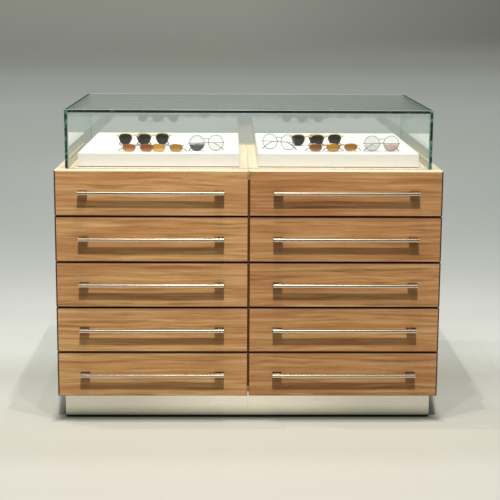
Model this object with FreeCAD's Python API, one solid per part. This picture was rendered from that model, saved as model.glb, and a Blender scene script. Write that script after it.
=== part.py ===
import FreeCAD, Part
import math
import os

# An eyewear display counter: a steel plinth, an oak cabinet with two columns of drawers, a pale
# oak top and a frameless glass hood over two white display blocks.
# Millimetres. +X to the right, +Y to the back, +Z up. The origin is under the middle of the
# whole object's box, at floor level.

# Whole cabinet
CABINET_WIDTH = 1220.0
CABINET_DEPTH = 740.0
ROW_COUNT = 5
PANEL_THICKNESS = 18.0
PANEL_ARRIS = 1.0
BACK_THICKNESS = 8.0
BACK_INSET = 10.0

# Drawer fronts
FRONT_HEIGHT = 142.0
FRONT_THICKNESS = 19.0
FRONT_GAP = 5.0
FRONT_ARRIS = 1.5
FRONT_SIDE_BEVEL = 5.0
FRONT_STAND_OFF = 1.5
FRONT_DROP = 8.0

# Handles
HANDLE_LENGTH = 458.0
HANDLE_BAR = 10.0
HANDLE_GRIP_GAP = 22.0
HANDLE_FOOT_WIDTH = 30.0
HANDLE_ARRIS = 0.8
HANDLE_RISE = 4.0

# Drawer boxes
BOX_WALL = 12.0
BOX_BOTTOM = 8.0
BOX_BOTTOM_RISE = 8.0
BOX_CLEARANCE = 8.0

# Drawer runners: a cabinet rail hooked round a ball track, and a drawer rail that runs inside it
RUNNER_SPACE = 12.7
RUNNER_LENGTH = 650.0
RUNNER_SET_BACK = 2.0
RUNNER_SHEET = 1.2
TRACK_HEIGHT = 18.3
TRACK_RADIUS = 3.8
TRACK_PLAY = 0.4
TRACK_LIP_ANGLE = 75.0
TROUGH_ANGLE = 45.0

# Plinth
PLINTH_TOP = 91.0
PLINTH_FRONT_SET_BACK = 30.0
PLINTH_SIDE_SET_BACK = 20.0
PLINTH_BACK_SET_BACK = 20.0
CLADDING_SHEET = 1.2
CLADDING_CORNER = 1.0
CLADDING_SEAM = 0.6
CLADDING_FLOOR_GAP = 5.0
PLINTH_RAIL_WIDTH = 40.0
PLINTH_RAIL_LIFT = 12.0
FOOT_RADIUS = 17.0
FOOT_EDGE_HEIGHT = 5.0
FOOT_TOP_RADIUS = 11.0
FOOT_END_INSET = 60.0

# Top boards
TOP_THICKNESS = 12.0
TOP_SEAM = 0.5
TOP_ARRIS = 0.8
GROOVE_DEPTH = 6.0
GROOVE_CLEARANCE = 0.5

# Glass hood
GLASS_THICKNESS = 10.0
GLASS_ARRIS = 0.8
GLASS_RISE = 187.0
GLASS_FRONT_SET_BACK = 46.0
GLASS_SIDE_SET_BACK = 30.0
GLASS_BACK_SET_BACK = 30.0

# Display blocks
BLOCK_HEIGHT = 45.0
BLOCK_ARRIS = 1.5
BLOCK_SPACING = 60.0
BLOCK_SIDE_CLEARANCE = 25.0
BLOCK_FRONT_CLEARANCE = 34.0
BLOCK_BACK_CLEARANCE = 8.0

# Spectacles on show, all standing folded
LENS_SPACING = 14.0
LENS_FACETS = 16
LENS_THICKNESS = 2.0
LENS_PLAY = 0.15
FRAME_THICKNESS = 4.0
END_PIECE = 3.0
TEMPLE_THICKNESS = 3.0
TEMPLE_BEND = 92.0
TEMPLE_REACH = 118.0

# Where each pair stands: the middle of its front, measured outwards and to the back from its
# block's inner front corner, and its turn in degrees.
LEFT_PAIRS = [
    ("sun", 349.0, 212.0, 0.0),
    ("sun", 290.0, 226.0, 0.0),
    ("amber", 326.0, 31.0, 0.0),
    ("amber", 231.0, 32.0, 0.0),
    ("round", 106.0, 62.0, 12.0),
]
RIGHT_PAIRS = [
    ("sun", 171.0, 202.0, 0.0),
    ("sun", 230.0, 216.0, 0.0),
    ("amber", 215.0, 50.0, 0.0),
    ("amber", 274.0, 64.0, 0.0),
    ("round", 402.0, 62.0, 0.0),
    ("round", 70.0, 100.0, -20.0),
]

# Places that follow from the sizes above
HANDLE_REACH = HANDLE_GRIP_GAP + HANDLE_BAR
FACE_Y = HANDLE_REACH - (CABINET_DEPTH + HANDLE_REACH) / 2
BACK_Y = FACE_Y + CABINET_DEPTH
HALF_WIDTH = CABINET_WIDTH / 2
BOX_FRONT_Y = FACE_Y + FRONT_THICKNESS
CARCASS_Y = BOX_FRONT_Y + FRONT_STAND_OFF
INNER_BACK_Y = BACK_Y - BACK_INSET - BACK_THICKNESS
FRONTS_BOTTOM = PLINTH_TOP - FRONT_DROP
ROW_PITCH = FRONT_HEIGHT + FRONT_GAP
TOP_Z = FRONTS_BOTTOM + ROW_COUNT * ROW_PITCH - FRONT_GAP
BOARD_Z = TOP_Z - TOP_THICKNESS
BASE_TOP = PLINTH_TOP + PANEL_THICKNESS
BOX_LENGTH = RUNNER_LENGTH
BOX_RISE = FRONT_DROP + PANEL_THICKNESS + BOX_CLEARANCE
BOX_HEIGHT = FRONT_HEIGHT - TOP_THICKNESS - PANEL_THICKNESS - BOX_CLEARANCE - BOX_RISE
SIDE_INNER_X = HALF_WIDTH - PANEL_THICKNESS
DIVIDER_X = PANEL_THICKNESS / 2
GLASS_HALF = HALF_WIDTH - GLASS_SIDE_SET_BACK
GLASS_FRONT_Y = FACE_Y + GLASS_FRONT_SET_BACK
GLASS_BACK_Y = BACK_Y - GLASS_BACK_SET_BACK
GLASS_TOP_Z = TOP_Z + GLASS_RISE
GROOVE_Z = TOP_Z - GROOVE_DEPTH
BLOCK_FRONT_Y = GLASS_FRONT_Y + GLASS_THICKNESS + BLOCK_FRONT_CLEARANCE
BLOCK_BACK_Y = GLASS_BACK_Y - GLASS_THICKNESS - BLOCK_BACK_CLEARANCE
BLOCK_OUTER_X = GLASS_HALF - GLASS_THICKNESS - BLOCK_SIDE_CLEARANCE
BLOCK_INNER_X = BLOCK_SPACING / 2

LEFT = -1
RIGHT = 1
SIDE_NAMES = {LEFT: "left", RIGHT: "right"}


def block(x0, x1, y0, y1, z0, z1):
    """A rectangular solid between two x, two y and two z values."""
    low = FreeCAD.Vector(min(x0, x1), y0, z0)
    return Part.makeBox(abs(x1 - x0), y1 - y0, z1 - z0, low)


def on_plane(edge, axis, value):
    """True where a straight edge lies in the plane axis = value."""
    ends = [getattr(vertex.Point, axis) for vertex in edge.Vertexes]
    return all(abs(end - value) < 1e-6 for end in ends)


def along(edge, axis):
    """True where a straight edge runs along one axis."""
    others = [name for name in "xyz" if name != axis]
    first, last = [vertex.Point for vertex in edge.Vertexes]
    return all(abs(getattr(first, name) - getattr(last, name)) < 1e-6 for name in others)


# Drawers


def drawer_front(side, z0):
    """A veneered front: a wide bevel on its outer edge and an arris round the rest of its face."""
    inner = side * FRONT_GAP / 2
    outer = side * HALF_WIDTH
    slab = block(inner, outer, FACE_Y, BOX_FRONT_Y, z0, z0 + FRONT_HEIGHT)
    outer_edge = [e for e in slab.Edges if on_plane(e, "y", FACE_Y) and on_plane(e, "x", outer)]
    slab = slab.makeChamfer(FRONT_SIDE_BEVEL, outer_edge)
    beside_bevel = outer - side * FRONT_SIDE_BEVEL
    face_edges = [e for e in slab.Edges if on_plane(e, "y", FACE_Y) and not on_plane(e, "x", beside_bevel)]
    return slab.makeChamfer(FRONT_ARRIS, face_edges)


def handle(side, z0):
    """A square bar on two flat feet that stand flush with its ends, a little above mid-height."""
    middle_x = side * (HALF_WIDTH + FRONT_GAP / 2) / 2
    middle_z = z0 + FRONT_HEIGHT / 2 + HANDLE_RISE
    low_z = middle_z - HANDLE_BAR / 2
    high_z = middle_z + HANDLE_BAR / 2
    left_end = middle_x - HANDLE_LENGTH / 2
    right_end = middle_x + HANDLE_LENGTH / 2
    back_of_bar = FACE_Y - HANDLE_GRIP_GAP
    bar = block(left_end, right_end, back_of_bar - HANDLE_BAR, back_of_bar, low_z, high_z)
    bar = bar.makeChamfer(HANDLE_ARRIS, bar.Edges)
    feet = []
    for foot_x in (left_end, right_end - HANDLE_FOOT_WIDTH):
        foot = block(foot_x, foot_x + HANDLE_FOOT_WIDTH, back_of_bar, FACE_Y, low_z, high_z)
        feet.append(foot.makeChamfer(HANDLE_ARRIS, [e for e in foot.Edges if along(e, "y")]))
    return Part.makeCompound([bar] + feet)


def bay_walls(side):
    """The two inner faces, left then right, of the bay that one column of drawers runs in."""
    return sorted((side * DIVIDER_X, side * SIDE_INNER_X))


def drawer_box(side, z0):
    """Four walls round a bottom that is let in between them."""
    low_x, high_x = bay_walls(side)
    x0 = low_x + RUNNER_SPACE
    x1 = high_x - RUNNER_SPACE
    y1 = BOX_FRONT_Y + BOX_LENGTH
    low_z = z0 + BOX_RISE
    high_z = low_z + BOX_HEIGHT
    left = block(x0, x0 + BOX_WALL, BOX_FRONT_Y, y1, low_z, high_z)
    right = block(x1 - BOX_WALL, x1, BOX_FRONT_Y, y1, low_z, high_z)
    inner_x0 = x0 + BOX_WALL
    inner_x1 = x1 - BOX_WALL
    inner_y0 = BOX_FRONT_Y + BOX_WALL
    inner_y1 = y1 - BOX_WALL
    front = block(inner_x0, inner_x1, BOX_FRONT_Y, inner_y0, low_z, high_z)
    back = block(inner_x0, inner_x1, inner_y1, y1, low_z, high_z)
    bottom_z = low_z + BOX_BOTTOM_RISE
    bottom = block(inner_x0, inner_x1, inner_y0, inner_y1, bottom_z, bottom_z + BOX_BOTTOM)
    return Part.makeCompound([left, right, front, back, bottom])


# Drawer runners. Both sections are drawn with u from the cabinet wall towards the drawer and w up
# from the middle of the runner.


def track_point(radius, angle):
    """A point round the centre of the upper ball track, at an angle from the u direction."""
    turn = math.radians(angle)
    centre_u = RUNNER_SHEET + TRACK_RADIUS
    return centre_u + radius * math.cos(turn), TRACK_HEIGHT + radius * math.sin(turn)


def track_arc(radius, start, end):
    """The start, middle and end of an arc round the ball track."""
    return [track_point(radius, angle) for angle in (start, (start + end) / 2, end)]


def section_solid(upper_half, wall_x, toward, middle_z, y0, length):
    """A rail run along Y: steps of one point, or three for an arc, mirrored to the lower half."""
    lower_half = [[(u, -w) for u, w in reversed(step)] for step in reversed(upper_half)]
    steps = []
    for step in upper_half + lower_half:
        steps.append([FreeCAD.Vector(wall_x + toward * u, y0, middle_z + w) for u, w in step])
    edges = []
    for step, following in zip(steps, steps[1:] + steps[:1]):
        if len(step) == 3:
            edges.append(Part.Arc(*step).toShape())
        edges.append(Part.LineSegment(step[-1], following[0]).toShape())
    return Part.Face(Part.Wire(edges)).extrude(FreeCAD.Vector(0, length, 0))


def cabinet_rail(wall_x, toward, middle_z):
    """The fixed rail: a web on the cabinet wall whose edges are rolled over the ball tracks."""
    inside = track_arc(TRACK_RADIUS, 180, TRACK_LIP_ANGLE)
    outside = track_arc(TRACK_RADIUS + RUNNER_SHEET, TRACK_LIP_ANGLE, 180)
    y0 = CARCASS_Y + RUNNER_SET_BACK
    return section_solid([inside, outside], wall_x, toward, middle_z, y0, RUNNER_LENGTH)


def drawer_rail(wall_x, toward, middle_z):
    """The moving rail: a web on the drawer's side whose flanges are folded to a trough for the balls."""
    angles = (270 - TROUGH_ANGLE, 270, 270 + TROUGH_ANGLE)
    over = [[track_point(TRACK_RADIUS - TRACK_PLAY, angle)] for angle in angles]
    under = [[track_point(TRACK_RADIUS - TRACK_PLAY + RUNNER_SHEET, angle)] for angle in reversed(angles)]
    flange_top = over[-1][0][1]
    inner_corner = [(RUNNER_SPACE - RUNNER_SHEET, flange_top - RUNNER_SHEET)]
    outer_corner = [(RUNNER_SPACE, flange_top)]
    upper_half = [inner_corner] + under + over + [outer_corner]
    return section_solid(upper_half, wall_x, toward, middle_z, BOX_FRONT_Y, BOX_LENGTH)


def runner_height(z0):
    """The middle of a drawer's runners, which is the middle of its box."""
    return z0 + BOX_RISE + BOX_HEIGHT / 2


def rail_pair(side, z0, make_rail):
    """One rail on each side of a drawer."""
    low_x, high_x = bay_walls(side)
    middle_z = runner_height(z0)
    return [make_rail(low_x, 1, middle_z), make_rail(high_x, -1, middle_z)]


# Plinth and cabinet


def plinth_outline(inset):
    """The plinth's two x and two y limits, drawn in by one amount all round."""
    half = HALF_WIDTH - PLINTH_SIDE_SET_BACK - inset
    front = FACE_Y + PLINTH_FRONT_SET_BACK + inset
    back = BACK_Y - PLINTH_BACK_SET_BACK - inset
    return -half, half, front, back


def plinth_cladding():
    """Folded steel sheet round the plinth, in two halves that meet at a seam in the middle."""
    x0, x1, y0, y1 = plinth_outline(0)
    outside = block(x0, x1, y0, y1, CLADDING_FLOOR_GAP, PLINTH_TOP)
    outside = outside.makeFillet(CLADDING_CORNER, [e for e in outside.Edges if along(e, "z")])
    in_x0, in_x1, in_y0, in_y1 = plinth_outline(CLADDING_SHEET)
    ring = outside.cut(block(in_x0, in_x1, in_y0, in_y1, CLADDING_FLOOR_GAP, PLINTH_TOP))
    halves = []
    for side in (LEFT, RIGHT):
        near = side * CLADDING_SEAM / 2
        halves.append(ring.common(block(near, side * HALF_WIDTH, y0, y1, 0, PLINTH_TOP)))
    return Part.makeCompound([half.Solids[0] for half in halves])


def plinth_frame():
    """Five timber rails on edge: front, back, two ends and one across the middle."""
    x0, x1, y0, y1 = plinth_outline(CLADDING_SHEET)
    low, high, wide = PLINTH_RAIL_LIFT, PLINTH_TOP, PLINTH_RAIL_WIDTH
    rails = [block(x0, x1, y0, y0 + wide, low, high), block(x0, x1, y1 - wide, y1, low, high)]
    for rail_x in (x0, -wide / 2, x1 - wide):
        rails.append(block(rail_x, rail_x + wide, y0 + wide, y1 - wide, low, high))
    return Part.makeCompound(rails)


def levelling_feet():
    """Six round tapered feet under the front and back rails of the plinth."""
    x0, x1, y0, y1 = plinth_outline(CLADDING_SHEET)
    outline = [
        (0, 0),
        (FOOT_RADIUS, 0),
        (FOOT_RADIUS, FOOT_EDGE_HEIGHT),
        (FOOT_TOP_RADIUS, PLINTH_RAIL_LIFT),
        (0, PLINTH_RAIL_LIFT),
    ]
    feet = []
    for foot_x in (x0 + FOOT_END_INSET, 0, x1 - FOOT_END_INSET):
        for foot_y in (y0 + PLINTH_RAIL_WIDTH / 2, y1 - PLINTH_RAIL_WIDTH / 2):
            points = [FreeCAD.Vector(foot_x + r, foot_y, z) for r, z in outline]
            face = Part.Face(Part.makePolygon(points + [points[0]]))
            axis_point = FreeCAD.Vector(foot_x, foot_y, 0)
            feet.append(face.revolve(axis_point, FreeCAD.Vector(0, 0, 1), 360))
    return Part.makeCompound(feet)


def side_panel(side):
    """An upright side with softened corners."""
    x0 = side * SIDE_INNER_X
    panel = block(x0, side * HALF_WIDTH, CARCASS_Y, BACK_Y, PLINTH_TOP, BOARD_Z)
    return panel.makeChamfer(PANEL_ARRIS, [e for e in panel.Edges if along(e, "z")])


def level_panel(z0):
    """A level panel between the two sides, in front of the back panel."""
    return block(-SIDE_INNER_X, SIDE_INNER_X, CARCASS_Y, INNER_BACK_Y, z0, z0 + PANEL_THICKNESS)


def top_board(side):
    """Half of the pale top, with its part of the groove that the glass walls stand in."""
    x0 = side * TOP_SEAM / 2
    board = block(x0, side * HALF_WIDTH, CARCASS_Y, BACK_Y, BOARD_Z, TOP_Z)
    board = board.makeChamfer(TOP_ARRIS, [e for e in board.Edges if on_plane(e, "z", TOP_Z)])
    out_x = GLASS_HALF + GROOVE_CLEARANCE
    out_y0 = GLASS_FRONT_Y - GROOVE_CLEARANCE
    out_y1 = GLASS_BACK_Y + GROOVE_CLEARANCE
    width = GLASS_THICKNESS + 2 * GROOVE_CLEARANCE
    ring = block(-out_x, out_x, out_y0, out_y1, GROOVE_Z, TOP_Z)
    island = block(width - out_x, out_x - width, out_y0 + width, out_y1 - width, GROOVE_Z, TOP_Z)
    return board.cut(ring.cut(island)).Solids[0]


# Glass hood


def pane(x0, x1, y0, y1, z0, z1):
    """A sheet of glass with a polished arris on every edge."""
    sheet = block(x0, x1, y0, y1, z0, z1)
    return sheet.makeChamfer(GLASS_ARRIS, sheet.Edges)


def glass_panes():
    """The hood: a top over two full-depth ends, with a front and a back between the ends."""
    wall_top = GLASS_TOP_Z - GLASS_THICKNESS
    inner_x = GLASS_HALF - GLASS_THICKNESS
    y0, y1 = GLASS_FRONT_Y, GLASS_BACK_Y
    return {
        "glass_top": pane(-GLASS_HALF, GLASS_HALF, y0, y1, wall_top, GLASS_TOP_Z),
        "glass_left": pane(-GLASS_HALF, -inner_x, y0, y1, GROOVE_Z, wall_top),
        "glass_right": pane(inner_x, GLASS_HALF, y0, y1, GROOVE_Z, wall_top),
        "glass_front": pane(-inner_x, inner_x, y0, y0 + GLASS_THICKNESS, GROOVE_Z, wall_top),
        "glass_back": pane(-inner_x, inner_x, y1 - GLASS_THICKNESS, y1, GROOVE_Z, wall_top),
    }


def display_block(side):
    """A lacquered block with softened edges, standing on the top."""
    x0, x1 = side * BLOCK_INNER_X, side * BLOCK_OUTER_X
    body = block(x0, x1, BLOCK_FRONT_Y, BLOCK_BACK_Y, TOP_Z, TOP_Z + BLOCK_HEIGHT)
    return body.makeChamfer(BLOCK_ARRIS, [e for e in body.Edges if not on_plane(e, "z", TOP_Z)])


# Spectacles. Each pair is drawn with its front face in the plane y = 0, its middle at x = 0 and
# the bottoms of its rims at z = 0.


class Spectacles:
    """One kind of spectacles: its sizes, and the solids of a pair that stands folded."""

    def __init__(self, lens_width, lens_height, taper, squareness, rim, bar, hinge_share):
        self.lens_width = lens_width
        self.lens_height = lens_height
        self.taper = taper
        self.squareness = squareness
        self.rim = rim
        self.bar = bar
        self.lens_x = (lens_width + LENS_SPACING) / 2
        self.hinge_x = self.lens_x + lens_width / 2 + rim + END_PIECE
        self.hinge_z = rim + hinge_share * lens_height

    def lens_face(self, grow, side, y):
        """One lens's outline, an oval or rounded square that narrows downwards, as a flat face."""
        wide = self.lens_width / 2 + grow
        high = self.lens_height / 2 + grow
        middle_z = self.rim + self.lens_height / 2
        points = []
        for step in range(LENS_FACETS):
            turn = 2 * math.pi * step / LENS_FACETS
            across = math.copysign(abs(math.cos(turn)) ** (2 / self.squareness), math.cos(turn))
            up = math.copysign(abs(math.sin(turn)) ** (2 / self.squareness), math.sin(turn))
            narrowed = wide - self.taper * (1 - up) / 2
            points.append(FreeCAD.Vector(side * self.lens_x + narrowed * across, y, middle_z + high * up))
        return Part.Face(Part.makePolygon(points + points[:1]))

    def front(self):
        """Two rims on a bar that makes the bridge and both end pieces."""
        thick = FreeCAD.Vector(0, FRAME_THICKNESS, 0)
        low, high = self.hinge_z - self.bar / 2, self.hinge_z + self.bar / 2
        body = block(-self.hinge_x, self.hinge_x, 0, FRAME_THICKNESS, low, high)
        body = body.fuse([self.lens_face(self.rim, side, 0).extrude(thick) for side in SIDE_NAMES])
        body = body.cut([self.lens_face(0, side, 0).extrude(thick) for side in SIDE_NAMES])
        return body.removeSplitter().Solids[0]

    def lens(self, side):
        """A lens in the middle of its rim's thickness."""
        y = (FRAME_THICKNESS - LENS_THICKNESS) / 2
        return self.lens_face(-LENS_PLAY, side, y).extrude(FreeCAD.Vector(0, LENS_THICKNESS, 0))

    def temple(self, side):
        """A folded side arm, level to the ear bend and then down; the left one lies outermost."""
        y = FRAME_THICKNESS + (TEMPLE_THICKNESS if side == LEFT else 0)
        low, high = self.hinge_z - self.bar / 2, self.hinge_z + self.bar / 2
        outline = [
            (0, low),
            (TEMPLE_BEND, low),
            (TEMPLE_REACH - self.bar, 0),
            (TEMPLE_REACH, 0),
            (TEMPLE_BEND + self.bar, high),
            (0, high),
        ]
        points = [FreeCAD.Vector(side * (self.hinge_x - reach), y, z) for reach, z in outline]
        face = Part.Face(Part.makePolygon(points + [points[0]]))
        return face.extrude(FreeCAD.Vector(0, TEMPLE_THICKNESS, 0))

    def pieces(self):
        """The front, both lenses and both temples."""
        pieces = [self.front()]
        for side in SIDE_NAMES:
            pieces += [self.lens(side), self.temple(side)]
        return pieces


SPECTACLES = {
    "sun": Spectacles(
        lens_width=50.0, lens_height=36.0, taper=12.0, squareness=2.6, rim=2.0, bar=5.0, hinge_share=0.82
    ),
    "amber": Spectacles(
        lens_width=42.0, lens_height=22.0, taper=4.0, squareness=2.5, rim=1.8, bar=4.0, hinge_share=0.8
    ),
    "round": Spectacles(
        lens_width=48.0, lens_height=48.0, taper=0.0, squareness=2.0, rim=1.4, bar=2.5, hinge_share=0.5
    ),
}


def spectacles_on_show():
    """Every pair, placed on its display block."""
    solids = []
    for side, pairs in ((LEFT, LEFT_PAIRS), (RIGHT, RIGHT_PAIRS)):
        for style, out, back, turn in pairs:
            place = FreeCAD.Vector(side * (BLOCK_INNER_X + out), BLOCK_FRONT_Y + back, TOP_Z + BLOCK_HEIGHT)
            for piece in SPECTACLES[style].pieces():
                piece.rotate(FreeCAD.Vector(0, 0, 0), FreeCAD.Vector(0, 0, 1), turn)
                piece.translate(place)
                solids.append(piece)
    return Part.makeCompound(solids)


# The whole set of nodes


def build_nodes():
    """Every node's name and shape."""
    nodes = {
        "plinth_frame": plinth_frame(),
        "plinth_cladding": plinth_cladding(),
        "levelling_feet": levelling_feet(),
        "base_panel": level_panel(PLINTH_TOP),
        "sub_top": level_panel(BOARD_Z - PANEL_THICKNESS),
        "centre_divider": block(
            -DIVIDER_X, DIVIDER_X, CARCASS_Y, INNER_BACK_Y, BASE_TOP, BOARD_Z - PANEL_THICKNESS
        ),
        "back_panel": block(
            -SIDE_INNER_X, SIDE_INNER_X, INNER_BACK_Y, INNER_BACK_Y + BACK_THICKNESS, PLINTH_TOP, BOARD_Z
        ),
        "eyewear": spectacles_on_show(),
    }
    nodes.update(glass_panes())
    rails = []
    for side, side_name in SIDE_NAMES.items():
        nodes["side_panel_" + side_name] = side_panel(side)
        nodes["top_board_" + side_name] = top_board(side)
        nodes["display_block_" + side_name] = display_block(side)
        for row in range(ROW_COUNT):
            z0 = FRONTS_BOTTOM + (ROW_COUNT - 1 - row) * ROW_PITCH
            place = f"{side_name}_{row + 1}"
            nodes["front_" + place] = drawer_front(side, z0)
            nodes["handle_" + place] = handle(side, z0)
            nodes["box_" + place] = drawer_box(side, z0)
            nodes["runner_" + place] = Part.makeCompound(rail_pair(side, z0, drawer_rail))
            rails.extend(rail_pair(side, z0, cabinet_rail))
    nodes["cabinet_rails"] = Part.makeCompound(rails)
    return nodes


os.makedirs("parts", exist_ok=True)
for name, shape in build_nodes().items():
    shape.exportStep(f"parts/{name}.step")
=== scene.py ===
"""Looks of the eyewear display case: its finishes, its spectacles and the studio round it."""
import logging
import math
from dataclasses import dataclass, field
from enum import Enum
from typing import Any

import bmesh
import bpy
from mathutils import Matrix, Vector


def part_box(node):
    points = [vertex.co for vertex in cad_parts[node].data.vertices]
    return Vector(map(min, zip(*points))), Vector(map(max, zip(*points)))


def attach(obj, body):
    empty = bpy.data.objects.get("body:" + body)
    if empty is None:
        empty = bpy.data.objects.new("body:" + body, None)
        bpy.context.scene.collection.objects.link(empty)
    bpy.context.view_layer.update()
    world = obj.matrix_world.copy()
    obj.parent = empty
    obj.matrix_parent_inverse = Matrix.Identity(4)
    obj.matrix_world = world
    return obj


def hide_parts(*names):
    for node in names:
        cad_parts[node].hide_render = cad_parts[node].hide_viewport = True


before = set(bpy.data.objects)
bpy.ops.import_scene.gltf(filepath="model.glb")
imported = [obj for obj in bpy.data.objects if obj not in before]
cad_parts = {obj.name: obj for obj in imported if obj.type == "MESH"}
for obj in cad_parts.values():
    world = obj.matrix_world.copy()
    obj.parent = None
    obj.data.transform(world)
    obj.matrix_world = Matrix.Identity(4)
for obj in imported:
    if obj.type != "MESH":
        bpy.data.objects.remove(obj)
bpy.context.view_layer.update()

MM = 0.001
SIDES = {-1: "left", 1: "right"}

# From one row of drawers to the next, and a place that no pane reaches, in metres.
ROW_PITCH = 0.147
OFF_THE_GLASS = 9.0

log = logging.getLogger("display_case")

Tree = bpy.types.NodeTree
Node = bpy.types.Node
Socket = bpy.types.NodeSocket
Material = bpy.types.Material
Object = bpy.types.Object
Point = tuple[float, float, float]
Stops = tuple[tuple[float, str], ...]

# Settings that many nodes share. A Mix node's share is its input 0. Its pair of values are the inputs
# 2 and 3, its pair of vectors 4 and 5, and its pair of colours 6 and 7.
COLOURS = {"data_type": "RGBA"}
COLOURS_MULTIPLIED = {"data_type": "RGBA", "blend_type": "MULTIPLY"}
SMOOTH = {"interpolation_type": "SMOOTHSTEP"}
ABOVE = {"operation": "GREATER_THAN"}
BELOW = {"operation": "LESS_THAN"}
UNSIGNED = {"operation": "ABSOLUTE"}
GREATER_OF = {"operation": "MAXIMUM"}
PLUS = {"operation": "ADD"}
MINUS = {"operation": "SUBTRACT"}
TIMES = {"operation": "MULTIPLY"}
TIMES_PLUS = {"operation": "MULTIPLY_ADD"}


# Colours and nodes


def linear(colour: str) -> tuple[float, float, float, float]:
    """Turns an sRGB hex colour into the linear one that Blender's sockets hold.

    Args:
        colour: the colour as "#RRGGBB".

    Returns:
        Linear red, green, blue and an alpha of 1.
    """
    levels = [int(colour[at : at + 2], 16) / 255 for at in (1, 3, 5)]
    red, green, blue = [v / 12.92 if v <= 0.04045 else ((v + 0.055) / 1.055) ** 2.4 for v in levels]
    return red, green, blue, 1.0


def add(
    tree: Tree,
    kind: str,
    settings: dict[str, Any] | None = None,
    inputs: dict[str | int, Any] | None = None,
) -> Node:
    """Adds one node with its settings and links.

    Args:
        tree: the node tree it goes into.
        kind: the node's type name, without "ShaderNode".
        settings: its own properties; "stops" gives a colour ramp's positions and hex colours.
        inputs: a value, a hex colour, a socket, or a node whose first open output is linked, each by
            the input's name or number.

    Returns:
        The new node.
    """
    node = tree.nodes.new("ShaderNode" + kind)
    for name, value in (settings or {}).items():
        if name == "stops":
            ramp = node.color_ramp
            while len(ramp.elements) < len(value):
                ramp.elements.new(1.0)
            for element, (position, colour) in zip(ramp.elements, value):
                element.position = position
                element.color = linear(colour)
        else:
            setattr(node, name, value)
    for name, value in (inputs or {}).items():
        if isinstance(value, Node):
            value = next(out for out in value.outputs if out.enabled)
        if isinstance(value, Socket):
            tree.links.new(value, node.inputs[name])
        elif isinstance(value, str):
            node.inputs[name].default_value = linear(value)
        else:
            node.inputs[name].default_value = value
    return node


def stretch(value: Any, start: float, end: float, low: float = 0.0, high: float = 1.0) -> dict[str, Any]:
    """Gives the inputs of a Map Range node.

    Args:
        value: the socket or node with the value.
        start: the value that gives low.
        end: the value that gives high.
        low: the result at start.
        high: the result at end.

    Returns:
        The inputs by name.
    """
    return {"Value": value, "From Min": start, "From Max": end, "To Min": low, "To Max": high}


def patches(place: Socket, size_mm: float, detail: float = 2.0) -> dict[str, Any]:
    """Gives the inputs of a Noise Texture node whose features have a real size.

    Args:
        place: the socket with the position.
        size_mm: how wide one feature is.
        detail: how many finer layers the noise has.

    Returns:
        The inputs by name.
    """
    return {"Vector": place, "Scale": 1 / (size_mm * MM), "Detail": detail}


def shaded(tree: Tree, colour: Any, share: Node) -> Node:
    """Darkens a colour.

    Args:
        tree: the node tree.
        colour: a hex colour, or the node or socket with the colour.
        share: the node with the share of its lightness that it keeps.

    Returns:
        The node with the darkened colour.
    """
    grey = add(tree, "CombineColor", None, {0: share, 1: share, 2: share})
    return add(tree, "Mix", COLOURS_MULTIPLIED, {0: 1.0, 6: colour, 7: grey})


def looks_up(tree: Tree, least: float) -> Node:
    """Gives 1 on faces that look up.

    Args:
        tree: the node tree.
        least: the normal's Z from which a face counts.

    Returns:
        The node with the mask.
    """
    normal = add(tree, "SeparateXYZ", None, {0: add(tree, "TexCoord").outputs["Normal"]})
    return add(tree, "Math", ABOVE, {0: normal.outputs["Z"], 1: least})


def ray_of(tree: Tree, kinds: tuple[str, ...]) -> Any:
    """Gives 1 to a ray that is of one of the named kinds.

    Args:
        tree: the node tree.
        kinds: the kinds as Light Path names them, such as "Camera".

    Returns:
        The socket or node with the mask.
    """
    path = add(tree, "LightPath")
    found = path.outputs[f"Is {kinds[0]} Ray"]
    for kind in kinds[1:]:
        found = add(tree, "Math", GREATER_OF, {0: found, 1: path.outputs[f"Is {kind} Ray"]})
    return found


class Grain(Enum):
    """The axis that a board's grain, or a sheet's brushing, runs along."""

    ALONG_X = 0
    ALONG_Y = 1
    ALONG_Z = 2


@dataclass(frozen=True)
class Streaks:
    """One layer of noise, drawn out along the grain: the base of rings, pores and brushing."""

    long_mm: float
    wide_mm: float
    detail: float = 2.0
    shift: float = 0.0

    def draw(self, tree: Tree, place: Any, run: Grain, leaf: float = 0.0) -> Node:
        """Draws the layer.

        Args:
            tree: the node tree.
            place: the socket with the position.
            run: the grain's direction.
            leaf: moves the pattern, so that two boards differ.

        Returns:
            The noise node.
        """
        along, across = 1 / (self.long_mm * MM), 1 / (self.wide_mm * MM)
        scale = tuple(along if axis == run.value else across for axis in range(3))
        shift = leaf + self.shift
        moved = {0: place, 1: scale, 2: (shift, shift * 1.7, shift * 2.3)}
        point = add(tree, "VectorMath", TIMES_PLUS, moved)
        inputs = {"Vector": point, "Scale": 1.0, "Detail": self.detail, "Roughness": 0.55}
        return add(tree, "TexNoise", None, inputs)


@dataclass(frozen=True)
class Finish:
    """A surface finish. Each kind names its material and draws its own nodes."""

    name: str

    def material(self) -> Material:
        """Makes the Blender material of this finish.

        Returns:
            The material.
        """
        made = bpy.data.materials.new(self.name)
        made.use_nodes = True
        made.node_tree.nodes.clear()
        add(made.node_tree, "OutputMaterial", None, {"Surface": self.surface(made.node_tree)})
        return made

    def surface(self, tree: Tree) -> Node:
        """Draws the finish; each kind of finish has its own."""
        raise NotImplementedError


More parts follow.
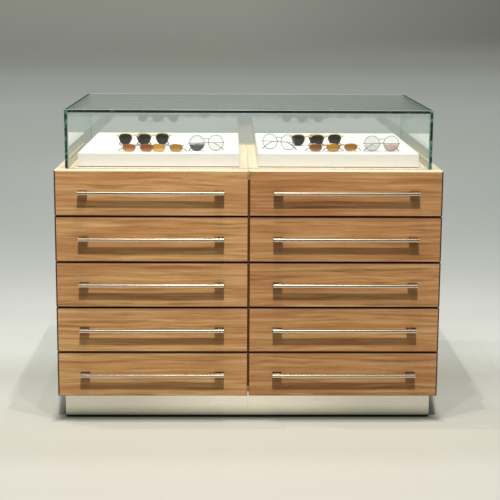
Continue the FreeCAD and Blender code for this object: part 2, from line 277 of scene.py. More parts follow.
@dataclass(frozen=True)
class OakVeneer(Finish):
    """Rift-cut oak veneer under a satin lacquer.

    The leaf is sliced, so its growth rings show as long straight streaks that wander a little, with
    short dark pores between them. The lacquer gives it a soft sheen and no gloss. A front's edges and
    bevels are drawn darker than its face: painted shade, for the shade in the gaps between the fronts
    and on the bevels. A banded panel's upright front and rear edges are lipped with veneer whose grain
    stands upright. The leaf is the part of the pattern that a piece is cut from, and the depth is how
    far its colour goes towards the deep one.
    """

    run: Grain = Grain.ALONG_X
    leaf: float = 0.0
    depth: float = 0.0
    pale: str = "#F8C98F"
    middle: str = "#DAA66A"
    dark: str = "#976731"
    flush: str = "#C98955"
    deep: str = "#D2BFBA"
    # Painted shade: edge darkens a front's edges and bevels, and top_edge its edges that look up.
    edge: str | None = None
    top_edge: str = "#6E4826"
    banded: bool = False
    sway: Streaks = Streaks(240, 70, 1.0)
    sway_reach: float = 0.017
    rings: Streaks = Streaks(300, 8.5, 2.0, 3.1)
    lines: Streaks = Streaks(110, 1.8, 2.0, 7.7)
    line_weight: float = 0.44
    bands: Streaks = Streaks(700, 17, 1.5, 12.9)
    pores: Streaks = Streaks(16, 0.6, 1.0, 21.3)

    def surface(self, tree: Tree) -> Node:
        """Draws rings, broad bands, fine lines and pores.

        Args:
            tree: the material's node tree.

        Returns:
            The shader node.
        """
        place = self.lipped_place(tree) if self.banded else add(tree, "TexCoord").outputs["Object"]
        sway = self.sway.draw(tree, place, self.run, self.leaf).outputs["Color"]
        place = add(tree, "VectorMath", TIMES_PLUS, {0: sway, 1: (self.sway_reach,) * 3, 2: place})
        rings, lines, bands, pores = [
            layer.draw(tree, place, self.run, self.leaf)
            for layer in (self.rings, self.lines, self.bands, self.pores)
        ]
        weighed = {0: lines, 1: self.line_weight, 2: -self.line_weight / 2}
        mixed = add(tree, "Math", PLUS, {0: add(tree, "Math", TIMES_PLUS, weighed), 1: rings})
        stops = [(0.17, self.dark), (0.45, self.middle), (0.74, self.pale)]
        wood = add(tree, "ValToRGB", {"stops": stops}, {"Fac": mixed})
        warm = add(tree, "MapRange", None, stretch(bands, 0.48, 0.66, 0.0, 0.6))
        wood = add(tree, "Mix", COLOURS, {0: warm, 6: wood, 7: self.flush})
        wood = add(tree, "Mix", COLOURS_MULTIPLIED, {0: self.depth, 6: wood, 7: self.deep})
        pit = add(tree, "MapRange", None, stretch(pores, 0.64, 0.72, 1.0, 0.72))
        wood = shaded(tree, wood, pit)
        # Painted shade on the edges and bevels.
        if self.edge:
            wood = self.shaded_edges(tree, wood)
        height = add(tree, "Math", TIMES_PLUS, {0: lines, 1: 0.35, 2: pit})
        relief = add(tree, "Bump", None, {"Height": height, "Strength": 0.25, "Distance": 0.1 * MM})
        sheen = add(tree, "MapRange", None, stretch(mixed, 0.3, 0.7, 0.56, 0.46))
        lacquer = {"Roughness": sheen, "IOR": 1.5, "Specular IOR Level": 0.35}
        return add(tree, "BsdfPrincipled", None, {"Base Color": wood, "Normal": relief, **lacquer})

    def lipped_place(self, tree: Tree) -> Node:
        """Turns the grain upright on the faces that look forward or back.

        Args:
            tree: the material's node tree.

        Returns:
            The node with the position to draw the wood at.
        """
        coordinates = add(tree, "TexCoord")
        place = coordinates.outputs["Object"]
        at = add(tree, "SeparateXYZ", None, {0: place}).outputs
        turned = add(tree, "CombineXYZ", None, {0: at["X"], 1: at["Z"], 2: at["Y"]})
        normal = add(tree, "SeparateXYZ", None, {0: coordinates.outputs["Normal"]})
        forward = add(tree, "Math", UNSIGNED, {0: normal.outputs["Y"]})
        lipped = add(tree, "Math", ABOVE, {0: forward, 1: 0.7})
        return add(tree, "Mix", {"data_type": "VECTOR"}, {0: lipped, 4: place, 5: turned})

    def shaded_edges(self, tree: Tree, wood: Node) -> Node:
        """Paints shade on the edges, and gives the top edge its own colour.

        Args:
            tree: the material's node tree.
            wood: the face's colour.

        Returns:
            The node with the changed colour.
        """
        normal = add(tree, "SeparateXYZ", None, {0: add(tree, "TexCoord").outputs["Normal"]})
        forward = add(tree, "Math", UNSIGNED, {0: normal.outputs["Y"]})
        is_edge = add(tree, "Math", BELOW, {0: forward, 1: 0.9})
        edge = add(tree, "Mix", COLOURS, {0: looks_up(tree, 0.5), 6: self.edge, 7: self.top_edge})
        return add(tree, "Mix", COLOURS, {0: is_edge, 6: wood, 7: edge})


@dataclass(frozen=True)
class PaleOak(Finish):
    """Limed oak boards, sanded and oiled: pale cream, with faint fine lines and next to no gloss."""

    run: Grain = Grain.ALONG_Y
    pale: str = "#EEDFC6"
    dark: str = "#E0C9A8"
    lines: Streaks = Streaks(420, 5, 3.0, 2.0)
    fine: Streaks = Streaks(90, 1.4, 1.0, 5.0)

    def surface(self, tree: Tree) -> Node:
        """Draws broad grain with fine lines along it.

        Args:
            tree: the material's node tree.

        Returns:
            The shader node.
        """
        place = add(tree, "TexCoord").outputs["Object"]
        lines = self.lines.draw(tree, place, self.run)
        fine = self.fine.draw(tree, place, self.run)
        mixed = add(tree, "Math", TIMES_PLUS, {0: fine, 1: 0.35, 2: -0.17})
        mixed = add(tree, "Math", PLUS, {0: mixed, 1: lines})
        wood = add(tree, "ValToRGB", {"stops": [(0.30, self.dark), (0.62, self.pale)]}, {"Fac": mixed})
        relief = add(tree, "Bump", None, {"Height": mixed, "Strength": 0.2, "Distance": 0.1 * MM})
        oil = {"Roughness": 0.55, "Specular IOR Level": 0.3}
        return add(tree, "BsdfPrincipled", None, {"Base Color": wood, "Normal": relief, **oil})


@dataclass(frozen=True)
class BrushedSteel(Finish):
    """Stainless steel, brushed along its length, so that reflections smear across the brushing.

    The brush lines are drawn wider than they are, so that they show.
    """

    run: Grain = Grain.ALONG_X
    colour: str = "#D8D1C4"
    roughness: float = 0.28
    brush: Streaks = Streaks(120, 0.9)
    cloud: Streaks = Streaks(160, 60, 1.0, 4.0)

    def surface(self, tree: Tree) -> Node:
        """Draws brush lines in the roughness, the tone and the relief.

        Args:
            tree: the material's node tree.

        Returns:
            The shader node.
        """
        place = add(tree, "TexCoord").outputs["Object"]
        brush = self.brush.draw(tree, place, self.run)
        cloud = self.cloud.draw(tree, place, self.run)
        both = add(tree, "Math", TIMES_PLUS, {0: cloud, 1: 0.5, 2: brush})
        finest, roughest = self.roughness - 0.05, self.roughness + 0.07
        rough = add(tree, "MapRange", None, stretch(both, 0.5, 1.0, finest, roughest))
        tone = add(tree, "MapRange", None, stretch(brush, 0.3, 0.7, 0.94, 1.0))
        # Painted light and shade, where a kind of steel has them.
        colour = self.painted_light(tree, place, shaded(tree, self.colour, tone))
        relief = self.relief(tree, place, brush)
        steel = {"Base Color": colour, "Metallic": 1.0, "Roughness": rough, "Normal": relief}
        return add(tree, "BsdfPrincipled", None, steel)

    def painted_light(self, tree: Tree, place: Any, colour: Node) -> Node:
        """Paints light and shade into the colour; plain sheet has none."""
        return colour

    def relief(self, tree: Tree, place: Any, brush: Node) -> Node:
        """Raises the brush lines by a few hundredths of a millimetre."""
        return add(tree, "Bump", None, {"Height": brush, "Strength": 0.12, "Distance": 0.05 * MM})


@dataclass(frozen=True)
class PlinthSteel(BrushedSteel):
    """Brushed cladding whose lowest 5 cm are drawn ever darker towards the floor: a painted reflection of
    the shaded floor before it.

    Its lower edge is drawn nearly black, a painted shadow line. It is drawn lighter in the middle than
    towards its ends, a painted sheen, as in the photograph.
    """

    # Painted reflection and shade: the steel darkens towards the floor over this height.
    shade_rise_mm: float = 50.0
    bright_half: float = 0.45
    end_shine: float = 0.71
    # Painted shade by height: a near-black lower edge, then ever lighter upwards.
    shade_by_height: Stops = (
        (0.15, "#1A1712"),
        (0.2, "#AAA9A6"),
        (0.38, "#D4D3D0"),
        (0.56, "#E6E5E2"),
        (0.74, "#F8F7F4"),
        (0.9, "#FFFFFF"),
    )

    def painted_light(self, tree: Tree, place: Any, colour: Node) -> Node:
        """Paints reflected shade towards the floor, and less sheen towards its ends.

        Args:
            tree: the material's node tree.
            place: the socket with the position.
            colour: the brushed colour.

        Returns:
            The node with the changed colour.
        """
        at = add(tree, "SeparateXYZ", None, {0: place}).outputs
        share = add(tree, "MapRange", None, stretch(at["Z"], 0.0, self.shade_rise_mm * MM))
        shade = add(tree, "ValToRGB", {"stops": self.shade_by_height}, {"Fac": share})
        outward = add(tree, "Math", UNSIGNED, {0: at["X"]})
        shine = add(tree, "MapRange", SMOOTH, stretch(outward, self.bright_half, 0.0, self.end_shine))
        shade = shaded(tree, shade, shine)
        return add(tree, "Mix", COLOURS_MULTIPLIED, {0: 1.0, 6: colour, 7: shade})


@dataclass(frozen=True)
class HandleSteel(BrushedSteel):
    """Satin-brushed square bar on feet cut by milling.

    The bar's upper arris is rolled and catches the lamps as one bright line, and is drawn in a tone of
    its own. Under it a dim strip is drawn: a painted reflection of the room. Its top face is drawn
    paler, painted light. The feet behind the bar are drawn darker, painted shade. The strips' heights
    are above the bar's underside.
    """

    # Painted light and shade: the feet's darker tone, the dim strip's painted reflection, the arris's tone
    # and the top face's painted light.
    feet_shade: str = "#4A3B2C"
    dim: str = "#5F5649"
    rolled: str = "#A69A86"
    top: str = "#CFC6B8"
    feet_shade_y: float = 0.0
    bar_z: float = 0.0
    rolled_mm: float = 8.1
    dim_mm: float = 4.6
    roll: float = 0.7

    def bar_height(self, tree: Tree, place: Any) -> Node:
        """Gives how high a point is above the underside of its own row's bar.

        Args:
            tree: the material's node tree.
            place: the socket with the position.

        Returns:
            The node with the height.
        """
        height = add(tree, "SeparateXYZ", None, {0: place}).outputs["Z"]
        low = self.bar_z - 0.1 * ROW_PITCH
        row = add(tree, "Math", {"operation": "WRAP"}, {0: height, 1: low + ROW_PITCH, 2: low})
        return add(tree, "Math", MINUS, {0: row, 1: self.bar_z})

    def painted_light(self, tree: Tree, place: Any, colour: Node) -> Node:
        """Paints the dim strip's reflection, the rolled arris's tone, the top face's light and the feet's
        shade.

        Args:
            tree: the material's node tree.
            place: the socket with the position.
            colour: the brushed colour.

        Returns:
            The node with the changed colour.
        """
        height = self.bar_height(tree, place)
        over_dim = add(tree, "Math", ABOVE, {0: height, 1: self.dim_mm * MM})
        under_roll = add(tree, "Math", BELOW, {0: height, 1: self.rolled_mm * MM})
        strip = add(tree, "Math", TIMES, {0: over_dim, 1: under_roll})
        arris = add(tree, "Math", ABOVE, {0: height, 1: self.rolled_mm * MM})
        depth = add(tree, "SeparateXYZ", None, {0: place}).outputs["Y"]
        behind = add(tree, "Math", ABOVE, {0: depth, 1: self.feet_shade_y})
        parts = (
            (strip, self.dim),
            (arris, self.rolled),
            (looks_up(tree, 0.5), self.top),
            (behind, self.feet_shade),
        )
        for mask, tone in parts:
            colour = add(tree, "Mix", COLOURS, {0: mask, 6: colour, 7: tone})
        return colour

    def relief(self, tree: Tree, place: Any, brush: Node) -> Node:
        """Leans the strip along the upper arris back by 35 degrees, as rolling does.

        Args:
            tree: the material's node tree.
            place: the socket with the position.
            brush: the brush lines, left out here, as they would break the arris's bright line.

        Returns:
            The node with the normal.
        """
        height = self.bar_height(tree, place)
        over = add(tree, "Math", MINUS, {0: height, 1: self.rolled_mm * MM})
        over = add(tree, "Math", GREATER_OF, {0: over, 1: 0.0})
        fall = add(tree, "Math", TIMES, {0: over, 1: -self.roll})
        return add(tree, "Bump", None, {"Height": fall, "Strength": 1.0, "Distance": 1.0})


@dataclass(frozen=True)
class GalvanisedSteel(Finish):
    """Roll-formed zinc-plated steel: a cool grey with large, faint crystals in it."""

    colour: str = "#C3C6C8"
    dull: str = "#AEB2B5"
    crystal_mm: float = 5.0

    def surface(self, tree: Tree) -> Node:
        """Draws the zinc's crystals.

        Args:
            tree: the material's node tree.

        Returns:
            The shader node.
        """
        place = add(tree, "TexCoord").outputs["Object"]
        crystals = add(tree, "TexVoronoi", None, {"Vector": place, "Scale": 1 / (self.crystal_mm * MM)})
        grey = add(tree, "RGBToBW", None, {0: crystals.outputs["Color"]})
        tone = add(tree, "ValToRGB", {"stops": [(0.2, self.dull), (0.8, self.colour)]}, {"Fac": grey})
        rough = add(tree, "MapRange", None, stretch(grey, 0.0, 1.0, 0.34, 0.46))
        return add(tree, "BsdfPrincipled", None, {"Base Color": tone, "Metallic": 1.0, "Roughness": rough})


@dataclass(frozen=True)
class BirchPlywood(Finish):
    """Birch plywood, sanded and sealed: creamy faces, and edges that show the plies as stripes."""

    front_wall_y: float = 0.0
    back_wall_y: float = 0.0
    row_foot_z: float = 0.083
    rim_rise: float = 0.09
    ply_mm: float = 1.5
    grain: Streaks = Streaks(190, 14, 3.0, 1.0)
    face_stops: Stops = ((0.3, "#D9BD92"), (0.55, "#E6CFA8"), (0.75, "#EDDBB9"))
    ply_stops: Stops = ((0.0, "#B08A5C"), (1.0, "#E2C89C"))

    def surface(self, tree: Tree) -> Node:
        """Draws the face veneer, and stripes across the thickness where a wall's top edge looks up.

        Args:
            tree: the material's node tree.

        Returns:
            The shader node.
        """
        place = add(tree, "TexCoord").outputs["Object"]
        grain = self.grain.draw(tree, place, Grain.ALONG_Y)
        face = add(tree, "ValToRGB", {"stops": self.face_stops}, {"Fac": grain})
        at = add(tree, "SeparateXYZ", None, {0: place}).outputs
        past_front = add(tree, "Math", ABOVE, {0: at["Y"], 1: self.front_wall_y})
        short_of_back = add(tree, "Math", BELOW, {0: at["Y"], 1: self.back_wall_y})
        side_wall = add(tree, "Math", TIMES, {0: past_front, 1: short_of_back})
        across = add(tree, "Mix", None, {0: side_wall, 2: at["Y"], 3: at["X"]})
        ply = self.ply_mm * MM
        stripe = add(tree, "Math", {"operation": "PINGPONG"}, {0: across, 1: ply})
        stripe = add(tree, "MapRange", None, stretch(stripe, 0.35 * ply, 0.65 * ply))
        plies = add(tree, "ValToRGB", {"stops": self.ply_stops}, {"Fac": stripe})
        rim = add(tree, "Math", TIMES, {0: looks_up(tree, 0.7), 1: self.over_bottom(tree, at["Z"])})
        colour = add(tree, "Mix", COLOURS, {0: rim, 6: face, 7: plies})
        relief = add(tree, "Bump", None, {"Height": grain, "Strength": 0.15, "Distance": 0.1 * MM})
        sealer = {"Roughness": 0.5, "Specular IOR Level": 0.3}
        return add(tree, "BsdfPrincipled", None, {"Base Color": colour, "Normal": relief, **sealer})

    def over_bottom(self, tree: Tree, height: Any) -> Node:
        """Gives 1 on the box's rim and 0 on its bottom, by how high the point is above the row's foot.

        Args:
            tree: the material's node tree.
            height: the socket with the position's Z.

        Returns:
            The node with the mask.
        """
        inputs = {0: height, 1: self.row_foot_z + ROW_PITCH, 2: self.row_foot_z}
        row = add(tree, "Math", {"operation": "WRAP"}, inputs)
        return add(tree, "Math", ABOVE, {0: row, 1: self.row_foot_z + self.rim_rise})


@dataclass(frozen=True)
class PlanedSpruce(Finish):
    """Planed spruce laths: yellowish white early wood between narrow, darker rings."""

    run: Grain = Grain.ALONG_X
    rings: Streaks = Streaks(400, 3)
    stops: Stops = ((0.36, "#B98D58"), (0.48, "#DBBB86"), (0.7, "#E6CD9F"))

    def surface(self, tree: Tree) -> Node:
        """Draws the rings along the lath.

        Args:
            tree: the material's node tree.

        Returns:
            The shader node.
        """
        rings = self.rings.draw(tree, add(tree, "TexCoord").outputs["Object"], self.run)
        colour = add(tree, "ValToRGB", {"stops": self.stops}, {"Fac": rings})
        return add(tree, "BsdfPrincipled", None, {"Base Color": colour, "Roughness": 0.7})


@dataclass(frozen=True)
class MouldedNylon(Finish):
    """Black injection-moulded nylon, whose fine spark-eroded texture keeps it dull.

    The texture is drawn coarser than it is, so that it shows.
    """

    colour: str = "#232323"
    deep: str = "#1B1B1B"
    texture_mm: float = 0.5

    def surface(self, tree: Tree) -> Node:
        """Draws the mould's texture.

        Args:
            tree: the material's node tree.

        Returns:
            The shader node.
        """
        place = add(tree, "TexCoord").outputs["Object"]
        texture = add(tree, "TexNoise", None, patches(place, self.texture_mm))
        tone = add(tree, "ValToRGB", {"stops": [(0.3, self.deep), (0.7, self.colour)]}, {"Fac": texture})
        relief = add(tree, "Bump", None, {"Height": texture, "Strength": 0.3, "Distance": 0.1 * MM})
        return add(tree, "BsdfPrincipled", None, {"Base Color": tone, "Roughness": 0.55, "Normal": relief})


@dataclass(frozen=True)
class WhiteLacquer(Finish):
    """Sprayed satin white lacquer on the display blocks: very even, with a faint orange peel.

    The top is a matt white display sheet, drawn a shade greyer than the lacquered sides: painted
    light and shade between the lit top and the sides. A dark line along the foot is painted shade.
    """

    # Painted light: the sides are drawn whiter than the top.
    side: str = "#FDFCF9"
    top: str = "#EEEEEB"
    # Painted shade: a dark line drawn along the block's foot.
    foot: str = "#6E5F48"
    foot_z: float = 0.814
    foot_shade_mm: tuple[float, float] = (2.4, 1.2)
    mottle_mm: float = 60.0
    peel_mm: float = 3.0

    def surface(self, tree: Tree) -> Node:
        """Draws the lacquer's slight mottling and its peel.

        Args:
            tree: the material's node tree.

        Returns:
            The shader node.
        """
        place = add(tree, "TexCoord").outputs["Object"]
        mottle = add(tree, "TexNoise", None, patches(place, self.mottle_mm))
        tone = add(tree, "MapRange", None, stretch(mottle, 0.3, 0.7, 0.985, 1.0))
        upward = looks_up(tree, 0.9)
        white = add(tree, "Mix", COLOURS, {0: upward, 6: self.side, 7: self.top})
        height = add(tree, "SeparateXYZ", None, {0: place}).outputs["Z"]
        # Painted shade along the foot.
        clean_z, foot_shade_z = [self.foot_z + rise * MM for rise in self.foot_shade_mm]
        low = add(tree, "MapRange", None, stretch(height, clean_z, foot_shade_z))
        white = add(tree, "Mix", COLOURS, {0: low, 6: white, 7: self.foot})
        colour = shaded(tree, white, tone)
        peel = add(tree, "TexNoise", None, patches(place, self.peel_mm, 1.0))
        relief = add(tree, "Bump", None, {"Height": peel, "Strength": 0.08, "Distance": 0.1 * MM})
        rough = add(tree, "MapRange", None, stretch(upward, 0.0, 1.0, 0.38, 0.75))
        lacquer = {"Roughness": rough, "Normal": relief, "Specular IOR Level": 0.35}
        return add(tree, "BsdfPrincipled", None, {"Base Color": colour, **lacquer})


@dataclass(frozen=True)
class FloatGlass(Finish):
    """Clear float glass with polished edges.

    Its faces are see-through and mirror more the flatter they are looked at. The light that leaves by
    an edge has come a long way through the iron in the glass, so an edge is a dark green. It is drawn
    lighter towards the pane's ends, painted light, and the polished arris along it is drawn pale, a
    painted highlight. A pale line, a painted highlight, is drawn along a pane's upper rim, and the top
    pane is drawn dark where it lies on the side panes and pale where it lies on the rear one. The edges
    past far_y, at the back, hardly show.
    """

    across: Grain = Grain.ALONG_Y
    tint: str = "#FEFFFF"
    mirror_tint: str = "#FAFEF9"
    square_mirror: float = 0.045
    edge: str = "#16241F"
    edge_middle: str = "#25423A"
    edge_bright: str = "#5E9C8E"
    # Painted highlight: the pale tone of the arrises and of the lines along the rims.
    arris: str = "#B0C5BE"
    chip_mm: float = 16.0
    # Painted light: the edges are drawn lighter from bright_from_x out to bright_to_x.
    bright_from_x: float = 0.36
    bright_to_x: float = 0.58
    bond_top: float = OFF_THE_GLASS
    # Painted highlight: a pale line drawn along the upright panes' upper rim.
    rim_line_mm: float = 3.0
    rim_line_share: float = 0.55
    rim_x: float = OFF_THE_GLASS
    side_rim_share: float = 0.75
    rim_y: float = OFF_THE_GLASS
    rear_rim_share: float = 0.85
    far_y: float = 0.34
    far_share: float = 0.75

    def surface(self, tree: Tree) -> Node:
        """Tells faces, edges and arrises apart by their normals, and draws each.

        Args:
            tree: the material's node tree.

        Returns:
            The shader node.
        """
        coordinates = add(tree, "TexCoord").outputs
        at = add(tree, "SeparateXYZ", None, {0: coordinates["Object"]}).outputs
        outward = add(tree, "Math", UNSIGNED, {0: at["X"]})
        normal = add(tree, "SeparateXYZ", None, {0: coordinates["Normal"]}).outputs
        square = add(tree, "Math", UNSIGNED, {0: normal[self.across.value]})
        is_face = add(tree, "Math", ABOVE, {0: square, 1: 0.9})
        is_slant = add(tree, "Math", ABOVE, {0: square, 1: 0.4})
        clear = add(tree, "BsdfTransparent", None, {"Color": self.tint})
        edges = self.polished(tree, coordinates["Object"], outward, is_slant)
        edges = self.laid_over(tree, edges, clear, (at["Y"], self.far_y, self.far_share))
        pane = self.pane(tree, clear)
        line = add(tree, "BsdfPrincipled", None, {"Base Color": self.arris, "Roughness": 0.3})
        # Painted highlight along the upper rim.
        low, high = [self.bond_top - share * self.rim_line_mm * MM for share in (1.0, 0.6)]
        bond = add(tree, "MapRange", None, stretch(at["Z"], low, high, 0.0, self.rim_line_share))
        pane = add(tree, "MixShader", None, {0: bond, 1: pane, 2: line})
        inputs = {"Base Color": self.edge_middle, "Roughness": 0.6, "Specular IOR Level": 0.0}
        dark = add(tree, "BsdfPrincipled", None, inputs)
        pane = self.laid_over(tree, pane, dark, (outward, self.rim_x, self.side_rim_share))
        pane = self.laid_over(tree, pane, line, (at["Y"], self.rim_y, self.rear_rim_share))
        return add(tree, "MixShader", None, {0: is_face, 1: edges, 2: pane})

    def pane(self, tree: Tree, clear: Node) -> Node:
        """Mixes the see-through glass with its mirror.

        Args:
            tree: the material's node tree.
            clear: the see-through shader.

        Returns:
            The shader node.
        """
        facing = add(tree, "LayerWeight", None, {"Blend": 0.5}).outputs["Facing"]
        power = add(tree, "Math", {"operation": "POWER"}, {0: facing, 1: 5.0})
        shares = {0: power, 1: 1.0 - self.square_mirror, 2: self.square_mirror}
        mirror = add(tree, "Math", TIMES_PLUS, shares)
        gloss = add(tree, "BsdfGlossy", None, {"Color": self.mirror_tint, "Roughness": 0.01})
        return add(tree, "MixShader", None, {0: mirror, 1: clear, 2: gloss})

    def polished(self, tree: Tree, place: Any, outward: Any, slant: Any) -> Node:
        """Draws the green of the edges, brighter in places, and lighter towards the pane's ends as painted
        light.

        Args:
            tree: the material's node tree.
            place: the socket with the position.
            outward: how far to the side the point is.
            slant: the mask of the arrises.

        Returns:
            The shader node.
        """
        chips = add(tree, "TexNoise", None, patches(place, self.chip_mm, 3.0))
        inputs = stretch(outward, self.bright_from_x, self.bright_to_x, -0.2, -0.02)
        depth = add(tree, "Math", PLUS, {0: chips, 1: add(tree, "MapRange", None, inputs)})
        stops = [(0.4, self.edge), (0.5, self.edge_middle), (0.62, self.edge_bright)]
        green = add(tree, "ValToRGB", {"stops": stops}, {"Fac": depth})
        tone = add(tree, "Mix", COLOURS, {0: slant, 6: green, 7: self.arris})
        return add(tree, "BsdfPrincipled", None, {"Base Color": tone, "Roughness": 0.12, "IOR": 1.52})

    def laid_over(
        self,
        tree: Tree,
        below: Node,
        over: Node,
        where: tuple[Any, float, float],
    ) -> Node:
        """Lays one shader over another past a limit.

        Args:
            tree: the material's node tree.
            below: the shader that shows before the limit.
            over: the one that is laid over it.
            where: the measured value, its limit, and how much the upper shader covers.

        Returns:
            The shader node.
        """
        value, limit, cover = where
        past = add(tree, "Math", ABOVE, {0: value, 1: limit})
        share = add(tree, "Math", TIMES, {0: past, 1: cover})
        return add(tree, "MixShader", None, {0: share, 1: below, 2: over})


@dataclass(frozen=True)
class LaminatedAcetate(Finish):
    """Cellulose acetate, cut from a laminated sheet and tumbled: pale honey above, dark brown below."""

    top: str = "#E6D58C"
    bottom: str = "#33241C"
    split_z: float = 0.9
    soft_mm: float = 3.0
    cloud_mm: float = 6.0

    def surface(self, tree: Tree) -> Node:
        """Draws the two layers, with the cloudy mottling of acetate.

        Args:
            tree: the material's node tree.

        Returns:
            The shader node.
        """
        place = add(tree, "TexCoord").outputs["Object"]
        cloud = add(tree, "TexNoise", None, patches(place, self.cloud_mm, 3.0))
        height = add(tree, "SeparateXYZ", None, {0: place}).outputs["Z"]
        waver = add(tree, "Math", TIMES_PLUS, {0: cloud, 1: 3 * MM, 2: height})
        inputs = stretch(waver, self.split_z, self.split_z + self.soft_mm * MM)
        upper = add(tree, "MapRange", None, inputs)
        layers = add(tree, "Mix", COLOURS, {0: upper, 6: self.bottom, 7: self.top})
        shade = add(tree, "ValToRGB", {"stops": [(0.3, "#D8D8D8"), (0.7, "#FFFFFF")]}, {"Fac": cloud})
        colour = add(tree, "Mix", COLOURS_MULTIPLIED, {0: 1.0, 6: layers, 7: shade})
        return add(tree, "BsdfPrincipled", None, {"Base Color": colour, "Roughness": 0.18, "IOR": 1.49})


@dataclass(frozen=True)
class WireMetal(Finish):
    """Drawn nickel-silver wire, plated: smooth, with only a trace of the die's lines."""

    colour: str = "#8C7A55"
    roughness: float = 0.25
    patch_mm: float = 4.0

    def surface(self, tree: Tree) -> Node:
        """Draws the plating with faint patches of a darker tone.

        Args:
            tree: the material's node tree.

        Returns:
            The shader node.
        """
        place = add(tree, "TexCoord").outputs["Object"]
        patch = add(tree, "TexNoise", None, patches(place, self.patch_mm))
        shade = add(tree, "ValToRGB", {"stops": [(0.3, "#C8C8C8"), (0.65, "#FFFFFF")]}, {"Fac": patch})
        colour = add(tree, "Mix", COLOURS_MULTIPLIED, {0: 1.0, 6: self.colour, 7: shade})
        wire = {"Base Color": colour, "Metallic": 1.0, "Roughness": self.roughness}
        return add(tree, "BsdfPrincipled", None, wire)


@dataclass(frozen=True)
class TintedLens(Finish):
    """Cast lens resin, dip-dyed, so that its tint runs from one colour at the top to another below."""

    top: str = "#3A2A22"
    bottom: str = "#5A4334"
    low_z: float = 0.86
    high_z: float = 0.9
    clear_top: float = 0.0
    clear_bottom: float = 0.0
    cloud_mm: float = 15.0

    def surface(self, tree: Tree) -> Node:
        """Draws the tint, and how much shows through it.

        Args:
            tree: the material's node tree.

        Returns:
            The shader node.
        """
        place = add(tree, "TexCoord").outputs["Object"]
        height = add(tree, "SeparateXYZ", None, {0: place}).outputs["Z"]
        cloud = add(tree, "TexNoise", None, patches(place, self.cloud_mm, 1.0))
        waver = add(tree, "Math", TIMES_PLUS, {0: cloud, 1: 4 * MM, 2: height})
        rise = add(tree, "MapRange", SMOOTH, stretch(waver, self.low_z, self.high_z))
        tint = add(tree, "Mix", COLOURS, {0: rise, 6: self.bottom, 7: self.top})
        resin = {"Base Color": tint, "Roughness": 0.12, "IOR": 1.5, "Specular IOR Level": 0.25}
        dyed = add(tree, "BsdfPrincipled", None, resin)
        clear = add(tree, "BsdfTransparent", None, {"Color": "#FFFFFF"})
        inputs = stretch(rise, 0.0, 1.0, self.clear_bottom, self.clear_top)
        open_share = add(tree, "MapRange", None, inputs)
        return add(tree, "MixShader", None, {0: open_share, 1: dyed, 2: clear})


def dress(node: str, material: Material) -> None:
    """Gives a CAD node its finish.

    Args:
        node: the node's name.
        material: the finish's material.
    """
    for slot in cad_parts[node].material_slots:
        slot.material = material
    log.info("%s dressed in %s", node, material.name)


# The cabinet


@dataclass
class Plinth:
    """The recessed foot: steel cladding on a timber frame, on levelling feet."""

    cladding: Finish = PlinthSteel("stainless_steel_brushed", colour="#FFFCF0")
    timber: Finish = PlanedSpruce("spruce_planed")
    feet: Finish = MouldedNylon("nylon_moulded")

    def build(self) -> None:
        """Dresses the plinth's three nodes."""
        dress("plinth_cladding", self.cladding.material())
        dress("plinth_frame", self.timber.material())
        dress("levelling_feet", self.feet.material())


@dataclass
class Carcass:
    """The cabinet's panels, its pale top and the fixed halves of the runners.

    The centre divider is drawn dark brown, as painted shade, so that the gap between the two
    columns reads as a black line.
    """

    flat_panels: tuple[str, ...] = ("base_panel", "sub_top", "back_panel")
    inner: Finish = OakVeneer("oak_veneer_inner", leaf=41.0)
    # Painted shade: the divider's dark brown stands for the shade in the gap between the columns.
    gap_shade: Finish = OakVeneer(
        "oak_veneer_gap_shade",
        run=Grain.ALONG_Z,
        leaf=61.0,
        pale="#8A5A26",
        middle="#744818",
        dark="#5C3810",
        flush="#704418",
    )
    side_leaves: tuple[float, float] = (47.0, 52.0)
    top: Finish = PaleOak("limed_oak_oiled")
    rails: Finish = GalvanisedSteel("zinc_plated_steel_fixed")

    def build(self) -> None:
        """Dresses the panels, each side with a leaf of its own."""
        inner = self.inner.material()
        for node in self.flat_panels:
            dress(node, inner)
        dress("centre_divider", self.gap_shade.material())
        for side, leaf in zip(SIDES.values(), self.side_leaves):
            veneer = OakVeneer(f"oak_veneer_side_{side}", run=Grain.ALONG_Y, leaf=leaf, banded=True)
            dress(f"side_panel_{side}", veneer.material())
        pale = self.top.material()
        for side in SIDES.values():
            dress(f"top_board_{side}", pale)
        dress("cabinet_rails", self.rails.material())


@dataclass
class Drawer:
    """One drawer: a veneered front with its bar handle, a plywood box and two runner rails."""

    side: str
    row: int
    front: Finish
    handle: Material
    box: Material
    runner: Material

    def build(self) -> None:
        """Dresses the drawer's four nodes."""
        place = f"{self.side}_{self.row}"
        dress(f"front_{place}", self.front.material())
        dress(f"handle_{place}", self.handle)
        dress(f"box_{place}", self.box)
        dress(f"runner_{place}", self.runner)


